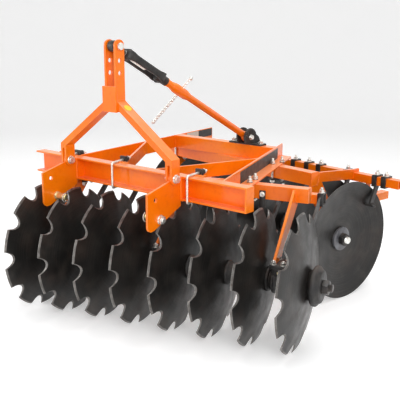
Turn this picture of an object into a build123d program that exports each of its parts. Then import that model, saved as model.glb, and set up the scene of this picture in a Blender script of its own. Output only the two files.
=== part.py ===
from build123d import *
import os
from math import atan, cos, degrees, hypot, radians, sin, sqrt

os.makedirs("parts", exist_ok=True)

# Offset disc harrow for a three-point hitch, lengths in mm, +Z up, +Y to the rear, +X to the right.
# Layout coordinates start at the rim centre of the leftmost front disc, on the ground.
# X_MID and Y_MID move them so that the middle of the whole machine stands over the origin.
X_MID = 505.8
Y_MID = 576.9

# Discs and their gangs
DISC_R = 278.0
DISC_DISH = 46.0
DISC_T = 5.0
DISC_SIDES = 30
ROUND_SIDES = 16
HUB_R = 75.0
DISC_COUNT = 8
PITCH = 172.0
NOTCHES = 10
NOTCH_W = 74.0
NOTCH_DEPTH = 40.0
AXLE_SQ = 30.0
AXLE_FIT = 0.3
FRONT_ANGLE = 14.9
REAR_ANGLE = 10.0
REAR_X = 1035.0
REAR_Y = 938.0
SPOOL_R = 50.0
SPOOL_WAIST_R = 34.0
BELL_R = 80.0
BELL_DEPTH = 50.0
BEARING_S = 98.0
BEARING_AT = (0, 3, 6)
HOUSING_R = 54.0
HOUSING_L = 76.0
JOURNAL_R = 25.0
JOURNAL_L = 82.0
BEARING_FIT = 0.05

# Main frame, carried at a set height over the disc tops
BEAM_RISE = 116.0
BEAM_TOP = 2 * DISC_R + BEAM_RISE
BEAM_H = 98.0
BEAM_DEPTH = 50.0
BEAM_TIP_Y = 122.0
BEAM_LEFT = -190.0
BEAM_RIGHT = 1040.0
BEAM_T = 8.0
SIDE_H = 68.0
SIDE_T = 8.0
SIDE_FLANGE = 58.0
LEFT_X = 63.0
LEFT_SLOPE = -0.0896
LEFT_END_Y = 1265.0
RIGHT_X = 897.0
RIGHT_SLOPE = -0.349
RIGHT_END_Y = 1055.0
CROSS_Y = 906.0
CROSS_DEPTH = 50.0
BRACE_H = 60.0
CLEAT_DEPTH = 28.0
CLEAT_W = 64.0

# Gang beams, hangers and scrapers
GANG_H = 60.0
GANG_W = 50.0
GANG_T = 7.0
FRONT_OFF = 235.0
REAR_OFF = -135.0
HANGER_T = 12.0
HANGER_LAP = 10.0
FRONT_HANGER_S = 78.0
REAR_HANGER_S = 102.0
PAD_T = 10.0
BAR_SQ = 40.0
BAR_WALL = 5.0
BAR_DROP = 4.0
FRONT_BAR_OFF = 335.0
REAR_BAR_OFF = 190.0
CLAMP_FIT = 0.3
CLAMP_T = 7.0
CLAMP_W = 26.0
SCRAPER_GAP = 7.0
SHANK_T = 10.0

# Hitch and mast
MID_X = 404.0
HITCH_U = 311.0
HITCH_T = 10.0
HITCH_FRONT_Y = -69.0
PIN_Y = 2.0
PIN_RISE = 38.0
HITCH_GAP = 22.0
HITCH_DISC = 4
PIN_R = 14.0
PIN_REACH = 66.0
FOOT_Y = 79.0
FOOT_DROP = 2.0
FOOT_PIN_R = 10.0
FOOT_W = 34.0
FOOT_SLOT = 12.0
MAST_D = 50.0
MAST_U = 28.0
MAST_T = 10.0
MAST_RISE = 524.0
MAST_PLATE_L = 288.0
TOP_HOLE_DROP = 27.0
LINK_HOLE_DROPS = (83.0, 132.0)
TOP_PIN_R = 11.0
LINK_HOLE_R = 10.0
ARM_LAP = 46.0
ARM_BEND_RISE = 74.0
ARM_T = 27.0
ARM_WALL = 8.0

# Adjustable stay from the mast top to the rear crossbeam
STAY_X = 470.0
STAY_Y = 905.0
STAY_RISE = 40.0
EYE_W = 38.0
EYE_R = 23.0
EYE_FLOAT = 2.2
SCREW_R = 12.0
SCREW_END = 190.0
FRAME_START = 64.0
FRAME_END = 290.0
COLLAR_L = 32.0
COLLAR_R = 24.0
NECK_END = 326.0
TUBE_R = 16.0
SLEEVE_R = 24.0
SLEEVE_FROM = 370.0
SLEEVE_TO = 470.0
TOMMY_AT = 420.0
TOMMY_TURN = 59.4
TOMMY_LONG = 192.0
TOMMY_SHORT = 84.0
TOMMY_R = 7.0
LUG_T = 10.0
PIN_FIT = 0.1
SIDE_PLAY = 1.0

WEB_Y = BEAM_TIP_Y + BEAM_DEPTH
SIDE_Z = BEAM_TOP - SIDE_H
GANG_Z = SIDE_Z - GANG_H
MAST_Y = FOOT_Y - MAST_D / 2
BAR_Z = GANG_Z - BAR_DROP
FOOT_Z = BEAM_TOP - FOOT_DROP
MAST_TOP = BEAM_TOP + MAST_RISE
MAST_LOW = MAST_TOP - MAST_PLATE_L
TOP_HOLE_Z = MAST_TOP - TOP_HOLE_DROP
LINK_HOLES_Z = [MAST_TOP - drop for drop in LINK_HOLE_DROPS]
ARM_TOP_Z = MAST_LOW + ARM_LAP
ARM_BEND_Z = BEAM_TOP + ARM_BEND_RISE
STAY_Z = BEAM_TOP + STAY_RISE


def at(x, y, z):
    return (x - X_MID, y - Y_MID, z)


def upright(x, y=0.0, z=0.0):
    # Local x runs to the rear, local y upwards, extrusion to the right.
    return Plane(origin=at(x, y, z), x_dir=(0, 1, 0), z_dir=(1, 0, 0))


def facing(y, x=0.0, z=0.0):
    # Local x runs to the right, local y upwards, extrusion to the front.
    return Plane(origin=at(x, y, z), x_dir=(1, 0, 0), z_dir=(0, -1, 0))


def level(z):
    return Plane(origin=at(0, 0, z), x_dir=(1, 0, 0), z_dir=(0, 0, 1))


FRONT_DIR = (cos(radians(FRONT_ANGLE)), sin(radians(FRONT_ANGLE)))
REAR_DIR = (cos(radians(REAR_ANGLE)), -sin(radians(REAR_ANGLE)))


def front_plane(s, z=DISC_R):
    # Local x runs to the rear across the front gang, local y upwards, extrusion along its axle.
    dx, dy = FRONT_DIR
    return Plane(origin=at(s * dx, s * dy, z), x_dir=(-dy, dx, 0), z_dir=(dx, dy, 0))


def rear_plane(s, z=DISC_R):
    dx, dy = REAR_DIR
    return Plane(origin=at(REAR_X + s * dx, REAR_Y + s * dy, z), x_dir=(-dy, dx, 0), z_dir=(dx, dy, 0))


def rear_back(s, z=DISC_R):
    # The same for the rear gang counted from its right end, extrusion to the left.
    dx, dy = REAR_DIR
    return Plane(origin=at(REAR_X - s * dx, REAR_Y - s * dy, z), x_dir=(dy, -dx, 0), z_dir=(-dx, -dy, 0))


def strip(x0, slope, y0, y1, left, right):
    # Plan outline of a straight member that leaves the line y = WEB_Y at x0 with the given slope.
    near = x0 + slope * (y0 - WEB_Y)
    far = x0 + slope * (y1 - WEB_Y)
    return [(near + left, y0), (near + right, y0), (far + right, y1), (far + left, y1)]


def reach(width, slope):
    return width * sqrt(1 + slope * slope)


# Front beam: a channel with its web at the rear, closed at the right end.
CHANNEL_DEPTH = BEAM_DEPTH - BEAM_T + 1
with BuildPart() as front_beam:
    with BuildSketch(upright(BEAM_LEFT, BEAM_TIP_Y, BEAM_TOP - BEAM_H)):
        Rectangle(BEAM_DEPTH, BEAM_H, align=(Align.MIN, Align.MIN))
        with Locations((-1, BEAM_T)):
            Rectangle(CHANNEL_DEPTH, BEAM_H - 2 * BEAM_T, align=(Align.MIN, Align.MIN), mode=Mode.SUBTRACT)
    extrude(amount=BEAM_RIGHT - BEAM_LEFT)
    with BuildSketch(upright(BEAM_RIGHT - BEAM_T, BEAM_TIP_Y, BEAM_TOP - BEAM_H)):
        with Locations((0, BEAM_T / 2)):
            Rectangle(BEAM_DEPTH, BEAM_H - BEAM_T, align=(Align.MIN, Align.MIN))
    extrude(amount=BEAM_T)

# Side beams: angles whose bottom flange points outwards.
LEFT_WEB = reach(SIDE_T, LEFT_SLOPE)
LEFT_FLANGE = reach(SIDE_FLANGE, LEFT_SLOPE)
with BuildPart() as left_side_beam:
    with BuildSketch(level(SIDE_Z)):
        with BuildLine():
            Polyline(*strip(LEFT_X, LEFT_SLOPE, WEB_Y, LEFT_END_Y, -LEFT_WEB, 0), close=True)
        make_face()
    extrude(amount=SIDE_H)
    with BuildSketch(level(SIDE_Z)):
        with BuildLine():
            Polyline(*strip(LEFT_X, LEFT_SLOPE, WEB_Y, LEFT_END_Y, -LEFT_FLANGE, 0), close=True)
        make_face()
    extrude(amount=SIDE_T)

RIGHT_WEB = reach(SIDE_T, RIGHT_SLOPE)
RIGHT_FLANGE = reach(SIDE_FLANGE, RIGHT_SLOPE)
RIGHT_OUTLINE = strip(RIGHT_X, RIGHT_SLOPE, WEB_Y, RIGHT_END_Y, -RIGHT_WEB, RIGHT_FLANGE - RIGHT_WEB)
with BuildPart() as right_side_beam:
    with BuildSketch(level(SIDE_Z)):
        with BuildLine():
            Polyline(*strip(RIGHT_X, RIGHT_SLOPE, WEB_Y, RIGHT_END_Y, -RIGHT_WEB, 0), close=True)
        make_face()
    extrude(amount=SIDE_H)
    with BuildSketch(level(SIDE_Z)):
        with BuildLine():
            Polyline(*RIGHT_OUTLINE, close=True)
        make_face()
    extrude(amount=SIDE_T)

# Rear crossbeam: a channel with its web at the front, its ends cut along the side beams.
CROSS_END_Y = CROSS_Y + CROSS_DEPTH


def cross_outline(y0, y1):
    left0 = LEFT_X + LEFT_SLOPE * (y0 - WEB_Y)
    left1 = LEFT_X + LEFT_SLOPE * (y1 - WEB_Y)
    right0 = RIGHT_X - RIGHT_WEB + RIGHT_SLOPE * (y0 - WEB_Y)
    right1 = RIGHT_X - RIGHT_WEB + RIGHT_SLOPE * (y1 - WEB_Y)
    return [(left0, y0), (right0, y0), (right1, y1), (left1, y1)]


CROSS_HOLLOW = [
    (BEAM_LEFT, CROSS_Y + SIDE_T),
    (BEAM_RIGHT, CROSS_Y + SIDE_T),
    (BEAM_RIGHT, CROSS_END_Y + 1),
    (BEAM_LEFT, CROSS_END_Y + 1),
]
with BuildPart() as rear_crossbeam:
    with BuildSketch(level(SIDE_Z)):
        with BuildLine():
            Polyline(*cross_outline(CROSS_Y, CROSS_END_Y), close=True)
        make_face()
    extrude(amount=SIDE_H)
    with BuildSketch(level(SIDE_Z + SIDE_T)):
        with BuildLine():
            Polyline(*CROSS_HOLLOW, close=True)
        make_face()
    extrude(amount=SIDE_H - 2 * SIDE_T, mode=Mode.SUBTRACT)

# Braces: flat bars on edge from a cleat behind the front beam to each side beam.
BRACE_T = 10.0
LEFT_BRACE_X = 352.0
LEFT_BRACE_SLOPE = -0.675
RIGHT_BRACE_X = 546.0
RIGHT_BRACE_SLOPE = 0.4
CLEAT_Y = WEB_Y + CLEAT_DEPTH


def meet(x0, slope, side_x, side_slope):
    return WEB_Y + (x0 - side_x) / (side_slope - slope)


LEFT_BRACE_W = reach(BRACE_T, LEFT_BRACE_SLOPE)
LEFT_NEAR_Y = meet(LEFT_BRACE_X - LEFT_BRACE_W, LEFT_BRACE_SLOPE, LEFT_X, LEFT_SLOPE)
LEFT_FAR_Y = meet(LEFT_BRACE_X, LEFT_BRACE_SLOPE, LEFT_X, LEFT_SLOPE)
with BuildPart() as left_brace:
    with BuildSketch(level(BEAM_TOP - BRACE_H)):
        with BuildLine():
            Polyline(
                (LEFT_BRACE_X + LEFT_BRACE_SLOPE * CLEAT_DEPTH - LEFT_BRACE_W, CLEAT_Y),
                (LEFT_BRACE_X + LEFT_BRACE_SLOPE * CLEAT_DEPTH, CLEAT_Y),
                (LEFT_X + LEFT_SLOPE * (LEFT_FAR_Y - WEB_Y), LEFT_FAR_Y),
                (LEFT_X + LEFT_SLOPE * (LEFT_NEAR_Y - WEB_Y), LEFT_NEAR_Y),
                close=True,
            )
        make_face()
    extrude(amount=BRACE_H)

RIGHT_BRACE_W = reach(BRACE_T, RIGHT_BRACE_SLOPE)
SIDE_IN = RIGHT_X - RIGHT_WEB
RIGHT_NEAR_Y = meet(RIGHT_BRACE_X, RIGHT_BRACE_SLOPE, SIDE_IN, RIGHT_SLOPE)
RIGHT_FAR_Y = meet(RIGHT_BRACE_X - RIGHT_BRACE_W, RIGHT_BRACE_SLOPE, SIDE_IN, RIGHT_SLOPE)
with BuildPart() as right_brace:
    with BuildSketch(level(BEAM_TOP - BRACE_H)):
        with BuildLine():
            Polyline(
                (RIGHT_BRACE_X - RIGHT_BRACE_W, WEB_Y),
                (RIGHT_BRACE_X, WEB_Y),
                (SIDE_IN + RIGHT_SLOPE * (RIGHT_NEAR_Y - WEB_Y), RIGHT_NEAR_Y),
                (SIDE_IN + RIGHT_SLOPE * (RIGHT_FAR_Y - WEB_Y), RIGHT_FAR_Y),
                close=True,
            )
        make_face()
    extrude(amount=BRACE_H)

# Cleats: short channels behind the web that the U-bolts pull against.
CLEAT_X = (-50.0, 322.0, 755.0)
with BuildPart() as beam_cleats:
    for cleat_x in CLEAT_X:
        with BuildSketch(upright(cleat_x - CLEAT_W / 2, WEB_Y, BEAM_TOP - BEAM_H)):
            Rectangle(CLEAT_DEPTH, BEAM_H, align=(Align.MIN, Align.MIN))
        extrude(amount=CLEAT_W)
        with BuildSketch(facing(CLEAT_Y, cleat_x, BEAM_TOP - BEAM_H)):
            with Locations((0, BEAM_T)):
                Rectangle(CLEAT_W - 2 * BEAM_T, BEAM_H - 2 * BEAM_T, align=(Align.CENTER, Align.MIN))
        extrude(amount=CLEAT_DEPTH - BEAM_T, mode=Mode.SUBTRACT)

# Hitch plates: one outline for both sides, with a tongue between the beam flanges.
EAR_R = 22.0
HITCH_DISC_Y = HITCH_DISC * PITCH * FRONT_DIR[1]
HITCH_AHEAD = (HITCH_DISC_Y - HITCH_FRONT_Y - 34) / FRONT_DIR[0]
HITCH_LOW_Z = DISC_R + sqrt((DISC_R + HITCH_GAP) ** 2 - HITCH_AHEAD ** 2)
PIN_Z = HITCH_LOW_Z + PIN_RISE
SPARE_HOLE_Z = BEAM_TOP - 70
HITCH_OUTLINE = [
    (HITCH_FRONT_Y, BEAM_TOP - 41),
    (HITCH_FRONT_Y, HITCH_LOW_Z + 16),
    (HITCH_FRONT_Y + 5, HITCH_LOW_Z + 4),
    (HITCH_FRONT_Y + 16, HITCH_LOW_Z - 2),
    (HITCH_FRONT_Y + 34, HITCH_LOW_Z),
    (BEAM_TIP_Y, BEAM_TOP - 119),
    (BEAM_TIP_Y, BEAM_TOP - BEAM_H + BEAM_T),
    (WEB_Y - BEAM_T, BEAM_TOP - BEAM_H + BEAM_T),
    (WEB_Y - BEAM_T, BEAM_TOP - BEAM_T),
    (BEAM_TIP_Y, BEAM_TOP - BEAM_T),
    (BEAM_TIP_Y, BEAM_TOP),
    (FOOT_Y + EAR_R, FOOT_Z + 4),
    (FOOT_Y - EAR_R, FOOT_Z - 8),
]

with BuildPart() as left_hitch_plate:
    with BuildSketch(upright(MID_X - HITCH_U - HITCH_T / 2)):
        with BuildLine():
            Polyline(*HITCH_OUTLINE, close=True)
        make_face()
        with Locations((FOOT_Y, FOOT_Z)):
            Circle(EAR_R)
        with Locations((FOOT_Y, FOOT_Z)):
            Circle(FOOT_PIN_R + PIN_FIT, mode=Mode.SUBTRACT)
        with Locations((PIN_Y, PIN_Z)):
            Circle(PIN_R, mode=Mode.SUBTRACT)
        with Locations((PIN_Y - 27, SPARE_HOLE_Z)):
            Circle(9, mode=Mode.SUBTRACT)
    extrude(amount=HITCH_T)

with BuildPart() as right_hitch_plate:
    with BuildSketch(upright(MID_X + HITCH_U - HITCH_T / 2)):
        with BuildLine():
            Polyline(*HITCH_OUTLINE, close=True)
        make_face()
        with Locations((FOOT_Y, FOOT_Z)):
            Circle(EAR_R)
        with Locations((FOOT_Y, FOOT_Z)):
            Circle(FOOT_PIN_R + PIN_FIT, mode=Mode.SUBTRACT)
        with Locations((PIN_Y, PIN_Z)):
            Circle(PIN_R, mode=Mode.SUBTRACT)
        with Locations((PIN_Y - 27, SPARE_HOLE_Z)):
            Circle(9, mode=Mode.SUBTRACT)
    extrude(amount=HITCH_T)

# Lower hitch pins: a collar bears on the inner face of the plate, a nut holds the outer face.
PIN_COLLAR_R = 18.0
PIN_COLLAR_T = 9.0
PIN_NUT_R = 22.0
PIN_NUT_T = 14.0
PIN_TAIL = 6.0
LEFT_IN = MID_X - HITCH_U + HITCH_T / 2
RIGHT_IN = MID_X + HITCH_U - HITCH_T / 2
with BuildPart() as left_hitch_pin:
    with BuildSketch(upright(LEFT_IN - HITCH_T - PIN_NUT_T - PIN_TAIL, PIN_Y, PIN_Z)):
        Circle(PIN_R)
    extrude(amount=PIN_TAIL + PIN_NUT_T + HITCH_T + PIN_REACH)
    with BuildSketch(upright(LEFT_IN, PIN_Y, PIN_Z)):
        Circle(PIN_COLLAR_R)
    extrude(amount=PIN_COLLAR_T)
    with BuildSketch(upright(LEFT_IN - HITCH_T - PIN_NUT_T, PIN_Y, PIN_Z)):
        RegularPolygon(PIN_NUT_R, 6)
    extrude(amount=PIN_NUT_T)

with BuildPart() as right_hitch_pin:
    with BuildSketch(upright(RIGHT_IN - PIN_REACH, PIN_Y, PIN_Z)):
        Circle(PIN_R)
    extrude(amount=PIN_TAIL + PIN_NUT_T + HITCH_T + PIN_REACH)
    with BuildSketch(upright(RIGHT_IN - PIN_COLLAR_T, PIN_Y, PIN_Z)):
        Circle(PIN_COLLAR_R)
    extrude(amount=PIN_COLLAR_T)
    with BuildSketch(upright(RIGHT_IN + HITCH_T, PIN_Y, PIN_Z)):
        RegularPolygon(PIN_NUT_R, 6)
    extrude(amount=PIN_NUT_T)

# Mast arms: channels open to the rear, forked at the foot over the hitch plate ear.
ARM_OUT_U = HITCH_U + FOOT_W / 2
ARM_IN_U = HITCH_U - FOOT_W / 2
ARM_START_U = MAST_U + MAST_T / 2
ARM_FALL = (ARM_TOP_Z - ARM_BEND_Z) / (ARM_OUT_U - ARM_START_U)
ARM_RISE = reach(ARM_T, ARM_FALL)
ARM_CORNER_Z = ARM_TOP_Z - ARM_RISE - ARM_FALL * (ARM_IN_U - ARM_START_U)
ARM_OUTLINE = [
    (ARM_START_U, ARM_TOP_Z),
    (ARM_OUT_U, ARM_BEND_Z),
    (ARM_OUT_U, FOOT_Z - MAST_D / 2),
    (ARM_IN_U, FOOT_Z - MAST_D / 2),
    (ARM_IN_U, ARM_CORNER_Z),
    (ARM_START_U, ARM_TOP_Z - ARM_RISE),
]
HOLLOW_RISE = reach(ARM_WALL, ARM_FALL)
HOLLOW_IN_U = HITCH_U - FOOT_SLOT / 2
HOLLOW_OUT_U = HITCH_U + FOOT_SLOT / 2
ARM_HOLLOW = [
    (ARM_START_U - 1, ARM_TOP_Z - HOLLOW_RISE + ARM_FALL),
    (HOLLOW_OUT_U, ARM_TOP_Z - HOLLOW_RISE - ARM_FALL * (HOLLOW_OUT_U - ARM_START_U)),
    (HOLLOW_OUT_U, FOOT_Z - MAST_D),
    (HOLLOW_IN_U, FOOT_Z - MAST_D),
    (HOLLOW_IN_U, ARM_TOP_Z - ARM_RISE + HOLLOW_RISE - ARM_FALL * (HOLLOW_IN_U - ARM_START_U)),
    (ARM_START_U - 1, ARM_TOP_Z - ARM_RISE + HOLLOW_RISE + ARM_FALL),
]
SLOT_TOP_Z = ARM_CORNER_Z - 12


def mirrored(points):
    return [(-u, z) for u, z in points]


with BuildPart() as mast_right_arm:
    with BuildSketch(facing(MAST_Y + MAST_D, MID_X)):
        with BuildLine():
            Polyline(*ARM_OUTLINE, close=True)
        make_face()
    extrude(amount=MAST_D)
    with BuildSketch(facing(MAST_Y + MAST_D + 1, MID_X)):
        with BuildLine():
            Polyline(*ARM_HOLLOW, close=True)
        make_face()
    extrude(amount=MAST_D - ARM_WALL + 1, mode=Mode.SUBTRACT)
    with BuildSketch(facing(MAST_Y + MAST_D + 1, MID_X + HITCH_U, FOOT_Z - MAST_D)):
        Rectangle(FOOT_SLOT, SLOT_TOP_Z - FOOT_Z + MAST_D, align=(Align.CENTER, Align.MIN))
    extrude(amount=MAST_D + 2, mode=Mode.SUBTRACT)
    with BuildSketch(upright(MID_X + ARM_IN_U - 1, FOOT_Y, FOOT_Z)):
        Rectangle(MAST_D + 2, MAST_D / 2 + 1, align=(Align.CENTER, Align.MAX))
        Circle(MAST_D / 2, mode=Mode.SUBTRACT)
        Circle(FOOT_PIN_R + PIN_FIT)
    extrude(amount=FOOT_W + 2, mode=Mode.SUBTRACT)

with BuildPart() as mast_left_arm:
    with BuildSketch(facing(MAST_Y + MAST_D, MID_X)):
        with BuildLine():
            Polyline(*mirrored(ARM_OUTLINE), close=True)
        make_face()
    extrude(amount=MAST_D)
    with BuildSketch(facing(MAST_Y + MAST_D + 1, MID_X)):
        with BuildLine():
            Polyline(*mirrored(ARM_HOLLOW), close=True)
        make_face()
    extrude(amount=MAST_D - ARM_WALL + 1, mode=Mode.SUBTRACT)
    with BuildSketch(facing(MAST_Y + MAST_D + 1, MID_X - HITCH_U, FOOT_Z - MAST_D)):
        Rectangle(FOOT_SLOT, SLOT_TOP_Z - FOOT_Z + MAST_D, align=(Align.CENTER, Align.MIN))
    extrude(amount=MAST_D + 2, mode=Mode.SUBTRACT)
    with BuildSketch(upright(MID_X - ARM_OUT_U - 1, FOOT_Y, FOOT_Z)):
        Rectangle(MAST_D + 2, MAST_D / 2 + 1, align=(Align.CENTER, Align.MAX))
        Circle(MAST_D / 2, mode=Mode.SUBTRACT)
        Circle(FOOT_PIN_R + PIN_FIT)
    extrude(amount=FOOT_W + 2, mode=Mode.SUBTRACT)

# Foot pins: fixed in the hitch plate ears, the forks turn on them.
FOOT_HEAD_T = 9.0
FOOT_HEAD_OUT = FOOT_W / 2 + SIDE_PLAY + FOOT_HEAD_T
with BuildPart() as mast_foot_pins:
    for side in (-1, 1):
        with BuildSketch(upright(MID_X + side * HITCH_U - FOOT_W / 2 - SIDE_PLAY, FOOT_Y, FOOT_Z)):
            Circle(FOOT_PIN_R)
        extrude(amount=FOOT_W + 2 * SIDE_PLAY)
        with BuildSketch(upright(MID_X + side * HITCH_U + FOOT_W / 2 + SIDE_PLAY, FOOT_Y, FOOT_Z)):
            RegularPolygon(17, 6)
        extrude(amount=FOOT_HEAD_T)
        with BuildSketch(upright(MID_X + side * HITCH_U - FOOT_HEAD_OUT, FOOT_Y, FOOT_Z)):
            RegularPolygon(17, 6)
        extrude(amount=FOOT_HEAD_T)

# Mast plates: two flats with round tops, each with the stay hole and two top-link holes.
PLATE_LEFT_X = MID_X - MAST_U - MAST_T / 2
PLATE_RIGHT_X = MID_X + MAST_U - MAST_T / 2
with BuildPart() as mast_left_plate:
    with BuildSketch(upright(PLATE_LEFT_X, FOOT_Y, 0)):
        with Locations((0, MAST_LOW)):
            Rectangle(MAST_D, MAST_TOP - MAST_D / 2 - MAST_LOW, align=(Align.CENTER, Align.MIN))
        with Locations((0, MAST_TOP - MAST_D / 2)):
            Circle(MAST_D / 2)
        with Locations((0, TOP_HOLE_Z)):
            Circle(TOP_PIN_R, mode=Mode.SUBTRACT)
        with Locations(*[(0, hole_z) for hole_z in LINK_HOLES_Z]):
            Circle(LINK_HOLE_R, mode=Mode.SUBTRACT)
    extrude(amount=MAST_T)

with BuildPart() as mast_right_plate:
    with BuildSketch(upright(PLATE_RIGHT_X, FOOT_Y, 0)):
        with Locations((0, MAST_LOW)):
            Rectangle(MAST_D, MAST_TOP - MAST_D / 2 - MAST_LOW, align=(Align.CENTER, Align.MIN))
        with Locations((0, MAST_TOP - MAST_D / 2)):
            Circle(MAST_D / 2)
        with Locations((0, TOP_HOLE_Z)):
            Circle(TOP_PIN_R, mode=Mode.SUBTRACT)
        with Locations(*[(0, hole_z) for hole_z in LINK_HOLES_Z]):
            Circle(LINK_HOLE_R, mode=Mode.SUBTRACT)
    extrude(amount=MAST_T)

JOIN_W = 78.0
JOIN_H = 104.0
with BuildPart() as mast_front_plate:
    with BuildSketch(facing(MAST_Y, MID_X, MAST_LOW)):
        Rectangle(JOIN_W, JOIN_H, align=(Align.CENTER, Align.MIN))
    extrude(amount=MAST_T)

TOP_HEAD_T = 10.0
with BuildPart() as mast_top_pin:
    with BuildSketch(upright(PLATE_LEFT_X, FOOT_Y, TOP_HOLE_Z)):
        Circle(TOP_PIN_R)
    extrude(amount=2 * MAST_U + MAST_T)
    with BuildSketch(upright(PLATE_LEFT_X - TOP_HEAD_T, FOOT_Y, TOP_HOLE_Z)):
        RegularPolygon(19, 6)
    extrude(amount=TOP_HEAD_T)
    with BuildSketch(upright(PLATE_RIGHT_X + MAST_T, FOOT_Y, TOP_HOLE_Z)):
        RegularPolygon(19, 6)
    extrude(amount=TOP_HEAD_T)

# The stay runs from the top pin down to a bracket on the rear crossbeam.
STAY_DX = STAY_X - MID_X
STAY_DY = STAY_Y - FOOT_Y
STAY_DZ = STAY_Z - TOP_HOLE_Z
STAY_RUN = hypot(STAY_DX, STAY_DY)
STAY_LONG = hypot(STAY_RUN, STAY_DZ)
STAY_DIR = (STAY_DX / STAY_LONG, STAY_DY / STAY_LONG, STAY_DZ / STAY_LONG)
STAY_ACROSS = (STAY_DY / STAY_RUN, -STAY_DX / STAY_RUN, 0)


def along(w):
    # Square to the stay, local x to the right, extrusion down the stay.
    x = MID_X + STAY_DIR[0] * w
    y = FOOT_Y + STAY_DIR[1] * w
    z = TOP_HOLE_Z + STAY_DIR[2] * w
    return Plane(origin=at(x, y, z), x_dir=STAY_ACROSS, z_dir=STAY_DIR)


def across(w, side):
    # Plane in the stay's vertical plane, local x down the stay, extrusion to the right.
    x = MID_X + STAY_DIR[0] * w + STAY_ACROSS[0] * side
    y = FOOT_Y + STAY_DIR[1] * w + STAY_ACROSS[1] * side
    z = TOP_HOLE_Z + STAY_DIR[2] * w
    return Plane(origin=at(x, y, z), x_dir=STAY_DIR, z_dir=STAY_ACROSS)


with BuildPart() as stay_screw:
    with BuildSketch(across(0, -EYE_W / 2)):
        Circle(EYE_R)
    extrude(amount=EYE_W)
    with BuildSketch(along(EYE_R - 4)):
        Circle(SCREW_R)
    extrude(amount=SCREW_END - EYE_R + 4)
    with BuildSketch(across(0, -EYE_W / 2 - 1)):
        Circle(TOP_PIN_R + EYE_FLOAT)
    extrude(amount=EYE_W + 2, mode=Mode.SUBTRACT)

RAIL_W = 14.0
RAIL_H = 30.0
RAIL_OFF = COLLAR_R + 6
with BuildPart() as stay_turnbuckle:
    for start in (FRAME_START, FRAME_END - COLLAR_L):
        with BuildSketch(along(start)):
            Rectangle(2 * RAIL_OFF + RAIL_W, 2 * COLLAR_R)
        extrude(amount=COLLAR_L)
    for side in (-1, 1):
        with BuildSketch(along(FRAME_START + 1)):
            with Locations((side * RAIL_OFF, 0)):
                Rectangle(RAIL_W, RAIL_H)
        extrude(amount=FRAME_END - FRAME_START - 2)
    with BuildSketch(along(FRAME_END)):
        Circle(TUBE_R + 4)
    extrude(amount=NECK_END - FRAME_END)
    with BuildSketch(along(FRAME_START - 1)):
        Circle(SCREW_R + PIN_FIT)
    extrude(amount=COLLAR_L + 2, mode=Mode.SUBTRACT)

STAY_UP = (
    STAY_ACROSS[1] * STAY_DIR[2],
    -STAY_ACROSS[0] * STAY_DIR[2],
    STAY_ACROSS[0] * STAY_DIR[1] - STAY_ACROSS[1] * STAY_DIR[0],
)
TURN = radians(TOMMY_TURN)
TOMMY_DIR = tuple(cos(TURN) * a + sin(TURN) * b for a, b in zip(STAY_ACROSS, STAY_UP))
TOMMY_PLANE = Plane(origin=along(TOMMY_AT).origin, x_dir=STAY_DIR, z_dir=TOMMY_DIR)
LOWER_PIN_R = 12.0
LOWER_EYE_W = 36.0
LOWER_EYE_R = 23.0
with BuildPart() as stay_tube:
    with BuildSketch(along(NECK_END)):
        Circle(TUBE_R)
    extrude(amount=STAY_LONG - NECK_END - LOWER_EYE_R + 6)
    with BuildSketch(along(SLEEVE_FROM)):
        RegularPolygon(SLEEVE_R, 8, rotation=22.5 - TOMMY_TURN)
    extrude(amount=SLEEVE_TO - SLEEVE_FROM)
    with BuildSketch(across(STAY_LONG, -LOWER_EYE_W / 2)):
        Circle(LOWER_EYE_R)
    extrude(amount=LOWER_EYE_W)
    with BuildSketch(across(STAY_LONG, -LOWER_EYE_W / 2 - 1)):
        Circle(LOWER_PIN_R + PIN_FIT)
    extrude(amount=LOWER_EYE_W + 2, mode=Mode.SUBTRACT)
    with BuildSketch(TOMMY_PLANE.offset(-2 * SLEEVE_R)):
        Circle(TOMMY_R + CLAMP_FIT)
    extrude(amount=4 * SLEEVE_R, mode=Mode.SUBTRACT)

with BuildPart() as tommy_bar:
    with BuildSketch(TOMMY_PLANE.offset(-TOMMY_LONG)):
        Circle(TOMMY_R)
    extrude(amount=TOMMY_LONG + TOMMY_SHORT)

# Stay bracket: base plate on the crossbeam, two lugs, and the half-round housing behind them.
BRACKET_T = 8.0
BRACKET_W = 196.0
DRUM_R = 44.0
DRUM_BACK = 28.0
LUG_IN = LOWER_EYE_W / 2 + SIDE_PLAY


def bracket_side(side):
    x = STAY_X + STAY_ACROSS[0] * side
    y = STAY_Y + STAY_ACROSS[1] * side
    return Plane(origin=at(x, y, STAY_Z), x_dir=(-STAY_ACROSS[1], STAY_ACROSS[0], 0), z_dir=STAY_ACROSS)


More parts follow.
